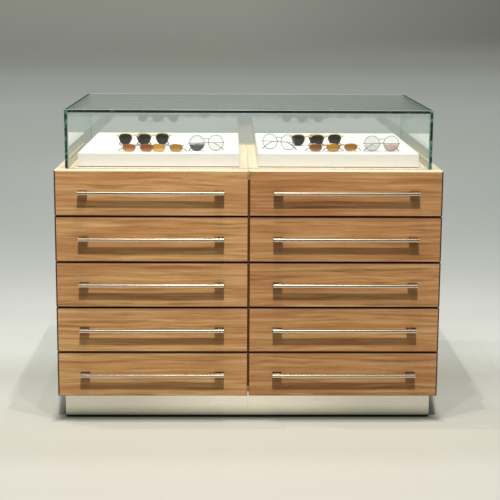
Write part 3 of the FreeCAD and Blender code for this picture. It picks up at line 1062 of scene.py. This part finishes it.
@dataclass
class DrawerBank:
    """The two columns of five drawers.

    Every front is cut from another part of the veneer, and from a paler or deeper leaf. Its edges are
    drawn dark, as painted shade, but the top edge of the uppermost ones is drawn in the pale wood of
    the top.
    """

    box_wall: float = 0.012
    handle_back_y: float = -0.3755
    # Painted shade on the fronts' edges and bevels; the uppermost fronts' top edge gets the pale tone.
    edge: str = "#4A2E18"
    pale_top_edge: str = "#DBCAA8"
    leaf_step: float = 2.9
    column_step: float = 17.0
    depths: dict[str, tuple[float, ...]] = field(
        default_factory=lambda: {
            "left": (0.24, 0.13, 0.2, 0.0, 0.06),
            "right": (0.58, 0.48, 0.38, 0.32, 0.46),
        }
    )

    def build(self) -> None:
        """Dresses the ten drawers."""
        handle = HandleSteel(
            "steel_satin_handle",
            colour="#D8CDBC",
            roughness=0.3,
            brush=Streaks(120, 0.4),
            feet_shade_y=self.handle_back_y,
            bar_z=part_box("handle_left_5")[0].z,
        ).material()
        low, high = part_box("box_left_1")
        walls = {"front_wall_y": low.y + self.box_wall, "back_wall_y": high.y - self.box_wall}
        ply = BirchPlywood("birch_plywood", **walls).material()
        rail = GalvanisedSteel("zinc_plated_steel_moving").material()
        for column, (side, depths) in enumerate(self.depths.items()):
            for row, depth in enumerate(depths, start=1):
                veneer = OakVeneer(
                    f"oak_veneer_{side}_{row}",
                    leaf=self.leaf_step * row + self.column_step * column,
                    depth=depth,
                    edge=self.edge,
                    top_edge=self.pale_top_edge if row == 1 else self.edge,
                )
                Drawer(side, row, veneer, handle, ply, rail).build()


# The glass hood and what it covers


@dataclass
class GlassHood:
    """Five bonded panes of float glass, open below; the rear one shows the goods again, faintly."""

    rear_mirror: float = 0.085
    rear_overlap: float = 6 * MM

    def build(self) -> None:
        """Dresses each pane by the way it faces."""
        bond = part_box("glass_front")[1].z
        level = FloatGlass(
            "float_glass_level",
            across=Grain.ALONG_Z,
            rim_x=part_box("glass_right")[0].x,
            rim_y=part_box("glass_back")[0].y - self.rear_overlap,
        )
        dress("glass_top", level.material())
        dress("glass_front", FloatGlass("float_glass_front", bond_top=bond).material())
        rear = FloatGlass("float_glass_back", bond_top=bond, square_mirror=self.rear_mirror)
        dress("glass_back", rear.material())
        for side in SIDES.values():
            pane = FloatGlass(f"float_glass_{side}", across=Grain.ALONG_X, bond_top=bond)
            dress(f"glass_{side}", pane.material())


@dataclass
class DisplayBlocks:
    """The two low white blocks that the spectacles stand on."""

    lacquer: Finish = WhiteLacquer("lacquer_satin_white")

    def build(self) -> None:
        """Dresses both blocks."""
        white = self.lacquer.material()
        for side in SIDES.values():
            dress(f"display_block_{side}", white)


class Build(Enum):
    """How a pair's front is made."""

    ACETATE = "cut from sheet"
    WIRE = "bent from wire"


@dataclass(frozen=True)
class SpectacleStyle:
    """One kind of spectacles, in millimetres, with the shares and counts that shape it.

    The taper is how much narrower a lens is at its foot. The squareness is the power of its outline: 2
    gives an oval, and more a rounded square. The bar is the height of the temples at their hinges,
    which sit at hinge_share of the lens's height. The tint runs between the two shares of that height
    in tint_span.
    """

    build: Build
    lens_width: float
    lens_height: float
    taper: float
    squareness: float
    rim: float
    bar: float
    hinge_share: float
    tint_span: tuple[float, float] = (0.0, 0.8)
    lens_spacing: float = 14.0
    thickness: float = 4.0
    end_piece: float = 3.0
    temple_thickness: float = 3.0
    temple_straight: float = 76.0
    temple_bend: float = 92.0
    temple_reach: float = 118.0
    lens_front: float = 1.0
    lens_thickness: float = 1.6
    lens_bow: float = 1.3
    facets: int = 56

    @property
    def lens_x(self) -> float:
        """How far each lens's middle is from the bridge's."""
        return (self.lens_width + self.lens_spacing) / 2

    @property
    def hinge_x(self) -> float:
        """How far each hinge is from the bridge's middle."""
        return self.lens_x + self.lens_width / 2 + self.rim + self.end_piece

    @property
    def hinge_z(self) -> float:
        """How high the hinges are above the rims' lowest points."""
        return self.rim + self.hinge_share * self.lens_height

    def outline_point(self, grow: float, side: int, turn: float) -> Vector:
        """Gives a point of a lens's outline, an oval or rounded square that narrows downwards.

        Args:
            grow: how far outside the lens's edge the outline is.
            side: -1 for the lens on the left and 1 for the one on the right.
            turn: the angle round the lens, from its outer side.

        Returns:
            The point, in the front's own plane.
        """
        across = math.copysign(abs(math.cos(turn)) ** (2 / self.squareness), math.cos(turn))
        up = math.copysign(abs(math.sin(turn)) ** (2 / self.squareness), math.sin(turn))
        wide = self.lens_width / 2 + grow - self.taper * (1 - up) / 2
        x = side * (self.lens_x + wide * across)
        return Vector((x, 0, self.rim + self.lens_height / 2 + (self.lens_height / 2 + grow) * up))

    def outline(self, grow: float, side: int) -> list[Vector]:
        """Gives a lens's whole outline.

        Args:
            grow: how far outside the lens's edge it is.
            side: -1 or 1, as for outline_point.

        Returns:
            Its points in order.
        """
        turns = (2 * math.pi * step / self.facets for step in range(self.facets))
        return [self.outline_point(grow, side, turn) for turn in turns]


@dataclass
class SpectaclePair:
    """One folded pair on a display block: its front, lenses, nose pads and crossed temples.

    A lens hole, and each kind of lens, is smaller than the lens's outline by the amounts in
    HOLE_GROW and LENS_GROW, so that the lens sits in the rim. All sizes are in millimetres.
    """

    name: str
    style: SpectacleStyle
    place: Matrix
    rim_finish: Material
    lens_finishes: tuple[Material, Material]
    metal_finish: Material
    mesh: bmesh.types.BMesh = field(default_factory=bmesh.new)

    FRAME_SLOT = 0
    LENS_SLOTS = {-1: 1, 1: 2}
    METAL_SLOT = 3
    ARRIS = 0.7
    HOLE_GROW = -0.4
    LENS_GROW = {Build.ACETATE: -0.5, Build.WIRE: -0.15}
    BARREL = 1.5
    PAD_WIRE = 0.7

    def build(self) -> Object:
        """Builds the pair's one object, in the place that the CAD gives it.

        Returns:
            The object, riding on the cabinet.
        """
        if self.style.build is Build.ACETATE:
            self.cut_front()
        else:
            self.bent_front()
        for side in SIDES:
            self.lens(side)
            self.temple(side)
            self.nose_pad(side)
        self.mesh.transform(self.place @ Matrix.Scale(MM, 4))
        made = bpy.data.meshes.new(self.name)
        bmesh.ops.recalc_face_normals(self.mesh, faces=self.mesh.faces)
        self.mesh.to_mesh(made)
        self.mesh.free()
        made.shade_smooth()
        for finish in (self.rim_finish, *self.lens_finishes, self.metal_finish):
            made.materials.append(finish)
        pair = bpy.data.objects.new(self.name, made)
        bpy.context.scene.collection.objects.link(pair)
        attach(pair, "cabinet")
        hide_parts("eyewear")
        log.info("%s built with %d faces", self.name, len(made.polygons))
        return pair

    def skin(self, one: list[Any], other: list[Any], slot: int) -> None:
        """Joins two closed rings of points with faces.

        Args:
            one: the first ring.
            other: the second ring, with as many points.
            slot: the material slot of the faces.
        """
        for step in range(len(one)):
            near = (step + 1) % len(one)
            face = self.mesh.faces.new((one[step], one[near], other[near], other[step]))
            face.material_index = slot

    def sweep(
        self,
        path: list[Vector],
        sizes: list[tuple[float, float]],
        slot: int,
        closed: bool = False,
        sides: int = 8,
    ) -> None:
        """Runs a rounded section along a path that lies in, or near, the front's plane.

        Args:
            path: the points that the section's middle follows.
            sizes: at each point, the section's full size in the plane and along Y.
            slot: the material slot of the faces.
            closed: whether the path's end joins its start.
            sides: how many sides the section has.
        """
        rings = []
        last = len(path) - 1
        for index, point in enumerate(path):
            before = path[index - 1] if index or closed else point
            after = path[(index + 1) % len(path)] if index < last or closed else point
            along = (after - before).normalized()
            depth = Vector((0, 0, 1)) if abs(along.y) > 0.9 else Vector((0, 1, 0))
            level = along.cross(depth).normalized()
            depth = level.cross(along)
            tall, deep = sizes[index]
            ring = []
            for step in range(sides):
                turn = 2 * math.pi * (step + 0.5) / sides
                offset = level * (math.cos(turn) * tall / 2) + depth * (math.sin(turn) * deep / 2)
                ring.append(self.mesh.verts.new(point + offset))
            rings.append(ring)
        for one, other in zip(rings, rings[1:]):
            self.skin(one, other, slot)
        if closed:
            self.skin(rings[-1], rings[0], slot)
        else:
            for ring in (rings[0], rings[-1]):
                self.mesh.faces.new(ring).material_index = slot

    def front_outline(self) -> list[Vector]:
        """Gives the outline of an acetate front: round both rims, along the saddle and the crest.

        Returns:
            Its points in order.
        """
        style = self.style
        top_z, low_z = style.hinge_z + style.bar / 2, style.hinge_z - style.bar / 2
        middle, high = style.rim + style.lens_height / 2, style.lens_height / 2 + style.rim
        start = math.pi - math.asin(min(1.0, (top_z - middle) / high) ** (style.squareness / 2))
        share = (low_z - middle) / high
        finish = math.asin(math.copysign(abs(share) ** (style.squareness / 2), share))
        whole_turn = start + math.pi + finish
        right = []
        for step in range(style.facets + 1):
            point = style.outline_point(style.rim, 1, start - whole_turn * step / style.facets)
            if point.x > style.lens_x:
                nearness = max(0.0, 1 - abs(point.z - style.hinge_z) / (1.3 * style.bar))
                point.x += style.end_piece * nearness * nearness * (3 - 2 * nearness)
            right.append(point)
        left = [Vector((-point.x, 0, point.z)) for point in reversed(right)]
        shares = (0.6, 0.2, -0.2, -0.6)
        saddle = [Vector((right[-1].x * at, 0, low_z + 1.6 * (1 - at * at))) for at in shares]
        crest = [Vector((right[0].x * -at, 0, top_z - 0.8 * (1 - at * at))) for at in shares]
        return right + saddle + left + crest

    def cut_front(self) -> None:
        """Cuts an acetate front from its sheet: its outline with two lens holes, and rounded arrises."""
        style = self.style
        curve = bpy.data.curves.new("front_outline", "CURVE")
        curve.dimensions = "2D"
        curve.fill_mode = "BOTH"
        curve.bevel_depth = self.ARRIS
        curve.offset = -curve.bevel_depth
        curve.extrude = style.thickness / 2 - curve.bevel_depth
        curve.bevel_resolution = 2
        holes = [style.outline(self.HOLE_GROW, side) for side in SIDES]
        for outline in (self.front_outline(), *holes):
            spline = curve.splines.new("POLY")
            spline.points.add(len(outline) - 1)
            for knot, point in zip(spline.points, outline):
                knot.co = (point.x, point.z, 0, 1)
            spline.use_cyclic_u = True
        holder = bpy.data.objects.new("front_outline", curve)
        made = bpy.data.meshes.new_from_object(holder)
        made.transform(Matrix(((1, 0, 0, 0), (0, 0, -1, style.thickness / 2), (0, 1, 0, 0), (0, 0, 0, 1))))
        self.mesh.from_mesh(made)
        bpy.data.objects.remove(holder)
        bpy.data.curves.remove(curve)
        bpy.data.meshes.remove(made)

    def bent_front(self) -> None:
        """Bends a wire front: two rims, an end piece on each, and a bowed bridge."""
        style = self.style
        wire, y, z = style.rim, style.thickness / 2, style.hinge_z
        for side in SIDES:
            rim = [point + Vector((0, y, 0)) for point in style.outline(wire / 2, side)]
            self.sweep(rim, [(wire, wire * 1.25)] * len(rim), self.FRAME_SLOT, closed=True)
            outer = side * (style.hinge_x - style.end_piece)
            hinge = side * (style.hinge_x - 0.8)
            arm = [
                Vector((outer - side * 0.8, y, z)),
                Vector((outer + side * 1.4, y, z)),
                Vector((hinge, y + 0.8, z)),
                Vector((hinge, y + 2.4, z)),
            ]
            self.sweep(arm, [(style.bar * 0.8, 1.6)] * len(arm), self.METAL_SLOT)
        root = style.outline_point(wire / 2, 1, math.pi - 0.55)
        bridge = []
        for step in range(9):
            at = 1 - step / 4
            bow = 1 - at * at
            bridge.append(Vector((root.x * at, y - 0.8 * bow, root.z + 2.6 * bow)))
        self.sweep(bridge, [(wire, wire)] * len(bridge), self.METAL_SLOT)

    def lens(self, side: int) -> None:
        """Sets one lens, a thin curved sheet, in its rim.

        Args:
            side: -1 or 1, the lens's side.
        """
        style = self.style
        slot = self.LENS_SLOTS[side]
        edge = style.outline(self.LENS_GROW[style.build], side)
        centre = Vector((side * style.lens_x, 0, style.rim + style.lens_height / 2))
        shares = (1.0, 0.85, 0.65, 0.42, 0.2)
        sheets = []
        front_y, back_y = style.lens_front, style.lens_front + style.lens_thickness
        for y, order in ((front_y, shares), (back_y, shares[::-1])):
            rings = []
            for share in order:
                bow = -style.lens_bow * (1 - share * share)
                spots = [centre.lerp(point, share) for point in edge]
                rings.append([self.mesh.verts.new((spot.x, y + bow, spot.z)) for spot in spots])
            sheets.append(rings)
        front, back = sheets
        rings = front[::-1] + back[::-1]
        for one, other in zip(rings, rings[1:]):
            self.skin(one, other, slot)
        for ring, y in ((rings[0], front_y), (rings[-1], back_y)):
            tip = self.mesh.verts.new((centre.x, y - style.lens_bow - 0.05, centre.z))
            for step in range(len(ring)):
                face = self.mesh.faces.new((ring[step], ring[(step + 1) % len(ring)], tip))
                face.material_index = slot

    def temple(self, side: int) -> None:
        """Folds one side arm behind the front, level to the ear bend and then down to the block.

        Args:
            side: -1 for the arm on the left, which lies outermost, and 1 for the other.
        """
        style = self.style
        y = style.thickness + style.temple_thickness * (1.5 if side == -1 else 0.5)
        slim = style.build is Build.WIRE
        tip = style.bar * (1.0 if slim else 0.9) / 2
        start = Vector((style.temple_straight, 0, style.hinge_z))
        corner = Vector((style.temple_bend + style.bar / 2, 0, style.hinge_z))
        end = Vector((style.temple_reach - style.bar / 2, 0, tip))
        spots = [Vector((reach, 0, style.hinge_z)) for reach in (0.6, 4, 12, 30, 50, 66)] + [start]
        for turn in (step / 8 for step in range(1, 9)):
            spots.append(start.lerp(corner, turn).lerp(corner.lerp(end, turn), turn))
        path = [Vector((side * (style.hinge_x - spot.x), y, spot.z)) for spot in spots]
        sizes = []
        for share in (number / (len(spots) - 1) for number in range(len(spots))):
            if not slim:
                tall = style.bar * (0.95 - 0.35 * share * (2 - share))
                sizes.append((tall, style.temple_thickness - 0.6))
            elif share < 0.5:
                sizes.append((1.5, 1.2))
            else:
                sizes.append((1.5 + 2.6 * (share - 0.5), 2.0))
        if slim:
            self.sweep(path[:9], sizes[:9], self.METAL_SLOT)
            self.sweep(path[8:], sizes[8:], self.FRAME_SLOT)
        else:
            self.sweep(path, sizes, self.FRAME_SLOT, sides=10)
        hinge_x, hinge_y, half = side * (style.hinge_x - 0.9), style.thickness + 0.2, style.bar * 0.42
        barrel = [Vector((hinge_x, hinge_y, style.hinge_z + rise)) for rise in (-half, half)]
        self.sweep(barrel, [(self.BARREL, self.BARREL)] * 2, self.METAL_SLOT)

    def nose_pad(self, side: int) -> None:
        """Hangs one nose pad behind the bridge, on a wire arm where the front is of wire.

        Args:
            side: -1 or 1, the pad's side.
        """
        style = self.style
        slim = style.build is Build.WIRE
        rim = style.outline_point(0, 1, math.pi - 0.15)
        pad = Vector((side * (rim.x - 1.2), style.thickness + 1.2, rim.z - 3.0))
        height = 5.0 if slim else 4.4
        path, sizes = [], []
        for step in range(7):
            at = -1 + step / 3
            path.append(pad + Vector((side * 0.5 * -at, 0, height * at * 0.75)))
            wide = 2.6 * math.sqrt(max(0.04, 1 - at * at))
            sizes.append((wide * 0.55, wide))
        self.sweep(path, sizes, self.LENS_SLOTS[1] if slim else self.FRAME_SLOT)
        if slim:
            root = Vector((side * rim.x, style.thickness / 2 + 0.6, rim.z + 1.0))
            arm = [root, root + Vector((-side * 0.8, 1.6, 0.2)), pad + Vector((0, 0.2, 1.2))]
            self.sweep(arm, [(self.PAD_WIRE, self.PAD_WIRE)] * len(arm), self.METAL_SLOT, sides=6)


@dataclass
class SpectaclesOnShow:
    """The eleven pairs, in the places and turns that the CAD gives them.

    Each pair has its style, how far out from its block's inner end and back from its front it stands,
    in millimetres, and its turn in degrees. Each tint has its colours at the top and below, and how
    much shows through it there. A tint whose name ends in "first" is the left lens's own.
    """

    block_inner_x: float = 30.0
    block_front_y: float = -264.0
    block_top_z: float = 858.0
    honey_share: float = 0.8
    styles: dict[str, SpectacleStyle] = field(
        default_factory=lambda: {
            "sun": SpectacleStyle(
                Build.ACETATE,
                lens_width=50.0,
                lens_height=36.0,
                taper=12.0,
                squareness=2.6,
                rim=2.0,
                bar=5.0,
                hinge_share=0.82,
            ),
            "amber": SpectacleStyle(
                Build.WIRE,
                lens_width=42.0,
                lens_height=22.0,
                taper=4.0,
                squareness=2.5,
                rim=1.8,
                bar=4.0,
                hinge_share=0.8,
            ),
            "round": SpectacleStyle(
                Build.WIRE,
                lens_width=48.0,
                lens_height=48.0,
                taper=0.0,
                squareness=2.0,
                rim=1.4,
                bar=2.5,
                hinge_share=0.5,
                tint_span=(0.38, 0.62),
            ),
        }
    )
    pairs: dict[int, tuple[tuple[str, float, float, float], ...]] = field(
        default_factory=lambda: {
            -1: (
                ("sun", 349, 212, 0),
                ("sun", 290, 226, 0),
                ("amber", 326, 31, 0),
                ("amber", 231, 32, 0),
                ("round", 106, 62, 12),
            ),
            1: (
                ("sun", 171, 202, 0),
                ("sun", 230, 216, 0),
                ("amber", 215, 50, 0),
                ("amber", 274, 64, 0),
                ("round", 402, 62, 0),
                ("round", 70, 100, -20),
            ),
        }
    )
    tints: dict[str, tuple[str, str, float, float]] = field(
        default_factory=lambda: {
            "sun": ("#100B06", "#24190E", 0.0, 0.02),
            "amber_left_3": ("#8A4A20", "#D47A2E", 0.02, 0.04),
            "amber_left_3_first": ("#9A5A28", "#F0A84E", 0.03, 0.06),
            "amber_left_4": ("#A87A20", "#D8A42E", 0.02, 0.04),
            "amber_left_4_first": ("#D0923A", "#FFD068", 0.03, 0.06),
            "amber_right_3": ("#BC7E26", "#F4BC52", 0.02, 0.05),
            "amber_right_3_first": ("#864A20", "#DE9650", 0.03, 0.06),
            "amber_right_4": ("#98640E", "#CE8E22", 0.02, 0.04),
            "round_left_5": ("#E8EAE8", "#DADBD6", 0.92, 0.8),
            "round_left_5_first": ("#D8DAD8", "#4A4E4A", 0.85, 0.2),
            "round_right_5": ("#EDEAE8", "#C9A29A", 0.9, 0.4),
            "round_right_5_first": ("#D5D5D0", "#C4BDB8", 0.8, 0.6),
            "round_right_6": ("#EFEFEC", "#E8E8E4", 0.95, 0.9),
        }
    )

    def lens(self, key: str, style: SpectacleStyle) -> Material:
        """Gives the tint of one pair's lenses.

        Args:
            key: the tint's name in tints.
            style: the pair's style, for the heights that the tint runs between.

        Returns:
            The lens's material.
        """
        top, bottom, clear_top, clear_bottom = self.tints[key]
        foot = (self.block_top_z + style.rim) * MM
        low_z, high_z = [foot + share * style.lens_height * MM for share in style.tint_span]
        name = f"lens_resin_{key}"
        return TintedLens(name, top, bottom, low_z, high_z, clear_top, clear_bottom).material()

    def build(self) -> None:
        """Builds every pair."""
        split_z = self.block_top_z + self.honey_share * self.styles["sun"].lens_height
        honey = LaminatedAcetate("acetate_laminated", split_z=split_z * MM).material()
        gold = WireMetal("nickel_silver_gilt", colour="#B58E4E").material()
        dark = WireMetal("nickel_silver_blackened", colour="#0C0B0A", roughness=0.5).material()
        finishes = {"sun": (honey, gold), "amber": (gold, gold), "round": (dark, dark)}
        for side, pairs in self.pairs.items():
            for number, (kind, out, back, turn) in enumerate(pairs, start=1):
                style = self.styles[kind]
                key = kind if kind in self.tints else f"{kind}_{SIDES[side]}_{number}"
                first = f"{key}_first"
                right_lens = self.lens(key, style)
                left_lens = self.lens(first, style) if first in self.tints else right_lens
                x, y = side * (self.block_inner_x + out), self.block_front_y + back
                place = Matrix.Translation(Vector((x, y, self.block_top_z)) * MM)
                name = f"{kind}_spectacles_{SIDES[side]}_{number}"
                turned = place @ Matrix.Rotation(math.radians(turn), 4, "Z")
                rim, metal = finishes[kind]
                SpectaclePair(name, style, turned, rim, (left_lens, right_lens), metal).build()


# The studio


@dataclass(frozen=True)
class StudioPaint(Finish):
    """Matt studio paint on the floor and the cove; its tone, painted light and shade among it, goes from
    warm near the case to grey.

    The dusk, painted shade at the wall's upper right, is for the camera alone: glass and steel mirror
    the lighter wall below it. The light that the paint throws back onto the case comes from one plain
    grey. The paint is drawn a little darker to the left, painted light, and a dark band along the case's
    foot is a painted shadow.
    """

    stops: Stops = ()
    span: tuple[float, float] = (-1.2, 3.2)
    bounce: str = "#7E7C76"
    mirror_end: float = 0.9
    # Painted shade: the wall is drawn darker towards its upper right.
    dusk: float = -0.45
    dusk_x: tuple[float, float] = (0.0, 1.7)
    dusk_z: tuple[float, float] = (1.05, 1.19)
    # Painted light: the paint is drawn a little darker to the left.
    lean_x: tuple[float, float] = (-0.3, 1.2)
    lean: tuple[float, float] = (0.985, 1.005)
    # Painted shadow: a dark band drawn on the floor along the case's foot.
    foot_half: tuple[float, float] = (0.59, 0.345)
    foot_middle_y: float = 0.021
    foot_shadow_reach: float = 0.055
    foot_shadow_tone: float = 0.25

    def surface(self, tree: Tree) -> Node:
        """Draws the tone by the distance along floor and wall, and lets the wall's back be looked through.

        Args:
            tree: the material's node tree.

        Returns:
            The shader node.
        """
        at = add(tree, "SeparateXYZ", None, {0: add(tree, "TexCoord").outputs["Object"]}).outputs
        way = add(tree, "Math", PLUS, {0: at["Y"], 1: at["Z"]})
        share = add(tree, "MapRange", None, stretch(way, *self.span))
        open_end = add(tree, "Math", PLUS, {0: ray_of(tree, ("Camera",)), 1: self.mirror_end})
        share = add(tree, "Math", {"operation": "MINIMUM"}, {0: share, 1: open_end})
        tone = add(tree, "ValToRGB", {"stops": self.stops}, {"Fac": share})
        rightward = add(tree, "MapRange", None, stretch(at["X"], *self.dusk_x))
        high = add(tree, "MapRange", SMOOTH, stretch(at["Z"], *self.dusk_z))
        corner = add(tree, "Math", TIMES, {0: rightward, 1: high})
        light = add(tree, "Math", TIMES_PLUS, {0: corner, 1: self.dusk, 2: 1.0})
        light = add(tree, "Math", TIMES, {0: light, 1: self.near_light(tree, at)})
        tone = shaded(tree, tone, light)
        direct = ray_of(tree, ("Camera", "Glossy", "Transmission"))
        colour = add(tree, "Mix", COLOURS, {0: direct, 6: self.bounce, 7: tone})
        inputs = {"Base Color": colour, "Roughness": 0.4, "Specular IOR Level": 0.15}
        paint = add(tree, "BsdfPrincipled", None, inputs)
        clear = add(tree, "BsdfTransparent")
        back = add(tree, "NewGeometry").outputs["Backfacing"]
        return add(tree, "MixShader", None, {0: back, 1: paint, 2: clear})

    def near_light(self, tree: Tree, at: Any) -> Node:
        """Gives the painted light and shade: a little less to the left, and least along the case's foot.

        Args:
            tree: the material's node tree.
            at: the sockets with the position's X, Y and Z.

        Returns:
            The node with the share of its own tone that the paint has.
        """
        right = add(tree, "MapRange", SMOOTH, stretch(at["X"], *self.lean_x, *self.lean))
        across = add(tree, "Math", UNSIGNED, {0: at["X"]})
        beside = add(tree, "Math", MINUS, {0: across, 1: self.foot_half[0]})
        along = add(tree, "Math", MINUS, {0: at["Y"], 1: self.foot_middle_y})
        along = add(tree, "Math", UNSIGNED, {0: along})
        before = add(tree, "Math", MINUS, {0: along, 1: self.foot_half[1]})
        off = add(tree, "Math", GREATER_OF, {0: beside, 1: before})
        # Painted shadow along the case's foot.
        unshadowed = add(tree, "MapRange", SMOOTH, stretch(off, 0.0, self.foot_shadow_reach, self.foot_shadow_tone))
        return add(tree, "Math", TIMES, {0: right, 1: unshadowed})


@dataclass(frozen=True)
class Lamp:
    """One round soft lamp, in metres.

    Its level is the light that reaches a surface at the target that faces it, where 1 lights a white
    surface fully. Gloss and glass show a mirrored lamp itself.
    """

    name: str
    place: Point
    target: Point
    size: float
    level: float
    colour: str = "#FFFFFF"
    mirrored: bool = True

    def hang(self) -> None:
        """Makes the lamp and aims it at its target."""
        offset = Vector(self.place) - Vector(self.target)
        data = bpy.data.lights.new(self.name, "AREA")
        data.shape = "DISK"
        data.size = self.size
        data.color = linear(self.colour)[:3]
        data.energy = self.level * math.pi**2 * offset.length_squared
        lamp = bpy.data.objects.new(self.name, data)
        lamp.location = self.place
        lamp.rotation_euler = offset.to_track_quat("Z", "Y").to_euler()
        lamp.visible_camera = False
        lamp.visible_glossy = self.mirrored
        lamp.visible_transmission = self.mirrored
        bpy.context.scene.collection.objects.link(lamp)


@dataclass
class Studio:
    """A pale floor that sweeps up into a grey wall behind, with ceiling lamps over the case.

    Each ceiling lamp is given by its name, its X and Y, and its level on the floor. The stops are the
    paint's tones, painted light and shade among them, from the floor before the case, along the floor
    and up the wall.
    """

    floor_end: float = 0.9
    sweep_radius: float = 0.9
    wall_top: float = 4.0
    half_width: float = 9.0
    floor_start: float = -9.0
    ground_drop: float = 0.002
    sweep_steps: int = 24
    ceiling_z: float = 3.5
    ceiling_size: float = 0.03
    ceiling: tuple[tuple[str, float, float, float], ...] = (
        ("middle", 0.0, -0.71, 0.16),
        ("front", 0.0, -1.22, 0.10),
        ("left", -0.30, -0.67, 0.065),
        ("right", 0.30, -0.67, 0.02),
        ("rear", -0.05, -0.24, 0.04),
        ("far_left", -0.80, -0.20, 0.14),
    )
    front_middle: Point = (0.0, -0.35, 0.45)
    key_rise: float = math.radians(56.5)
    key_far: float = 9.0
    backdrop: str = "#A9AEA7"
    fill: float = 0.165
    stops: Stops = (
        (0.06, "#D1CFC8"),
        (0.10, "#D3D1C9"),
        (0.13, "#CCCAC0"),
        (0.17, "#CFCEC4"),
        (0.24, "#D4D9D0"),
        (0.30, "#CACFC7"),
        (0.37, "#E0E5DF"),
        (0.46, "#E0E5E1"),
        (0.52, "#D6DBD8"),
        (0.60, "#BFC4C0"),
        (0.68, "#AFB5B3"),
        (0.74, "#A6AEAC"),
        (0.82, "#A7AFAC"),
        (0.87, "#AAB2B0"),
        (0.90, "#A0A5A3"),
        (0.916, "#8F948F"),
        (0.934, "#8A8D87"),
        (0.955, "#8C8F8A"),
        (0.99, "#8E918B"),
    )

    def build(self) -> None:
        """Builds the floor, the wall, the lamps and the world."""
        paint = StudioPaint("studio_paint", stops=self.stops).material()
        self.sheet("studio_cove", self.cove_profile(), paint)
        ground = StudioPaint("studio_ground_paint", stops=self.stops).material()
        ends = (self.floor_start, -self.floor_start)
        self.sheet("studio_ground", [Vector((0, y, -self.ground_drop)) for y in ends], ground)
        self.lamps()
        self.world()

    def cove_profile(self) -> list[Vector]:
        """Gives the line that the floor and wall follow from front to back and up.

        Returns:
            Its points.
        """
        line = [Vector((0, self.floor_start, 0)), Vector((0, self.floor_end, 0))]
        for step in range(1, self.sweep_steps + 1):
            turn = math.pi / 2 * step / self.sweep_steps
            y = self.floor_end + self.sweep_radius * math.sin(turn)
            line.append(Vector((0, y, self.sweep_radius * (1 - math.cos(turn)))))
        line.append(Vector((0, self.floor_end + self.sweep_radius, self.wall_top)))
        return line

    def sheet(self, name: str, profile: list[Vector], paint: Material) -> Object:
        """Stretches a profile across the studio.

        Args:
            name: the object's name.
            profile: the points of its section.
            paint: its material.

        Returns:
            The staged object.
        """
        mesh = bpy.data.meshes.new(name)
        points = [(x, p.y, p.z) for p in profile for x in (-self.half_width, self.half_width)]
        faces = [(2 * i, 2 * i + 1, 2 * i + 3, 2 * i + 2) for i in range(len(profile) - 1)]
        mesh.from_pydata(points, [], faces)
        mesh.shade_smooth()
        mesh.materials.append(paint)
        made = bpy.data.objects.new(name, mesh)
        bpy.context.scene.collection.objects.link(made)
        return made

    def lamps(self) -> None:
        """Hangs the key lamp, the ceiling lamps over the case and the weak lamps round it."""
        x, y, z = self.front_middle
        back, up = self.key_far * math.cos(self.key_rise), self.key_far * math.sin(self.key_rise)
        place = (x, y - back, z + up)
        lamps = [Lamp("key_lamp", place, self.front_middle, size=0.42, level=0.69, colour="#FFFBF4")]
        for name, x, y, level in self.ceiling:
            ends = (x, y, self.ceiling_z), (x, y, 0.0)
            lamps.append(Lamp(f"ceiling_lamp_{name}", *ends, self.ceiling_size, level, colour="#FFFDF8"))
        for side, name in SIDES.items():
            ends = (side * 4.0, 0.6, 1.5), (0, 0.1, 0.45)
            lamps.append(Lamp(f"side_fill_{name}", *ends, size=2.4, level=0.08, mirrored=False))
        ends = (0.0, 4.6, 1.6), (0, 0.3, 0.45)
        lamps.append(Lamp("rear_fill", *ends, size=2.4, level=0.22, mirrored=False))
        for lamp in lamps:
            lamp.hang()

    def world(self) -> None:
        """Sets the even light from all round, and the plain grey that the camera and gloss see instead."""
        world = bpy.data.worlds.new("studio_air")
        world.use_nodes = True
        tree = world.node_tree
        tree.nodes.clear()
        backdrop = add(tree, "Background", None, {"Color": self.backdrop, "Strength": 1.0})
        fill = add(tree, "Background", None, {"Color": "#FFFFFF", "Strength": self.fill})
        direct = ray_of(tree, ("Camera", "Glossy"))
        mixed = add(tree, "MixShader", None, {0: direct, 1: fill, 2: backdrop})
        add(tree, "OutputWorld", None, {"Surface": mixed})
        bpy.context.scene.world = world


@dataclass
class CaseCamera:
    """The photograph's camera, a little above the case and nearly square to it. Angles in radians."""

    place: Point = (-0.0559, -4.0778, 1.338)
    lens_mm: float = 86.7
    sensor_mm: float = 36.0
    down: float = 0.1639
    toward_right: float = 0.0159
    roll: float = 0.0053
    shift_up: float = -0.10

    def build(self) -> None:
        """Makes the camera and hands it to the scene."""
        level = Vector((math.cos(self.toward_right), -math.sin(self.toward_right), 0))
        ahead = Vector((math.sin(self.toward_right), math.cos(self.toward_right), 0))
        forward = ahead * math.cos(self.down) - Vector((0, 0, math.sin(self.down)))
        upright = level.cross(forward)
        right = level * math.cos(self.roll) + upright * math.sin(self.roll)
        up = upright * math.cos(self.roll) - level * math.sin(self.roll)
        data = bpy.data.cameras.new("case_camera")
        data.lens = self.lens_mm
        data.sensor_width = self.sensor_mm
        data.shift_y = self.shift_up
        data.clip_end = 100
        camera = bpy.data.objects.new("case_camera", data)
        turn = Matrix((right, up, -forward)).transposed()
        camera.matrix_world = Matrix.Translation(self.place) @ turn.to_4x4()
        bpy.context.scene.collection.objects.link(camera)
        bpy.context.scene.camera = camera


def main() -> None:
    """Builds every part of the scene in order."""
    logging.basicConfig(level=logging.INFO, format="%(name)s: %(message)s")
    bpy.context.scene.view_settings.view_transform = "Standard"
    for part in (
        CaseCamera(),
        Plinth(),
        Carcass(),
        DrawerBank(),
        DisplayBlocks(),
        SpectaclesOnShow(),
        GlassHood(),
        Studio(),
    ):
        part.build()
        log.info("%s done", type(part).__name__)


if __name__ == "__main__":
    main()
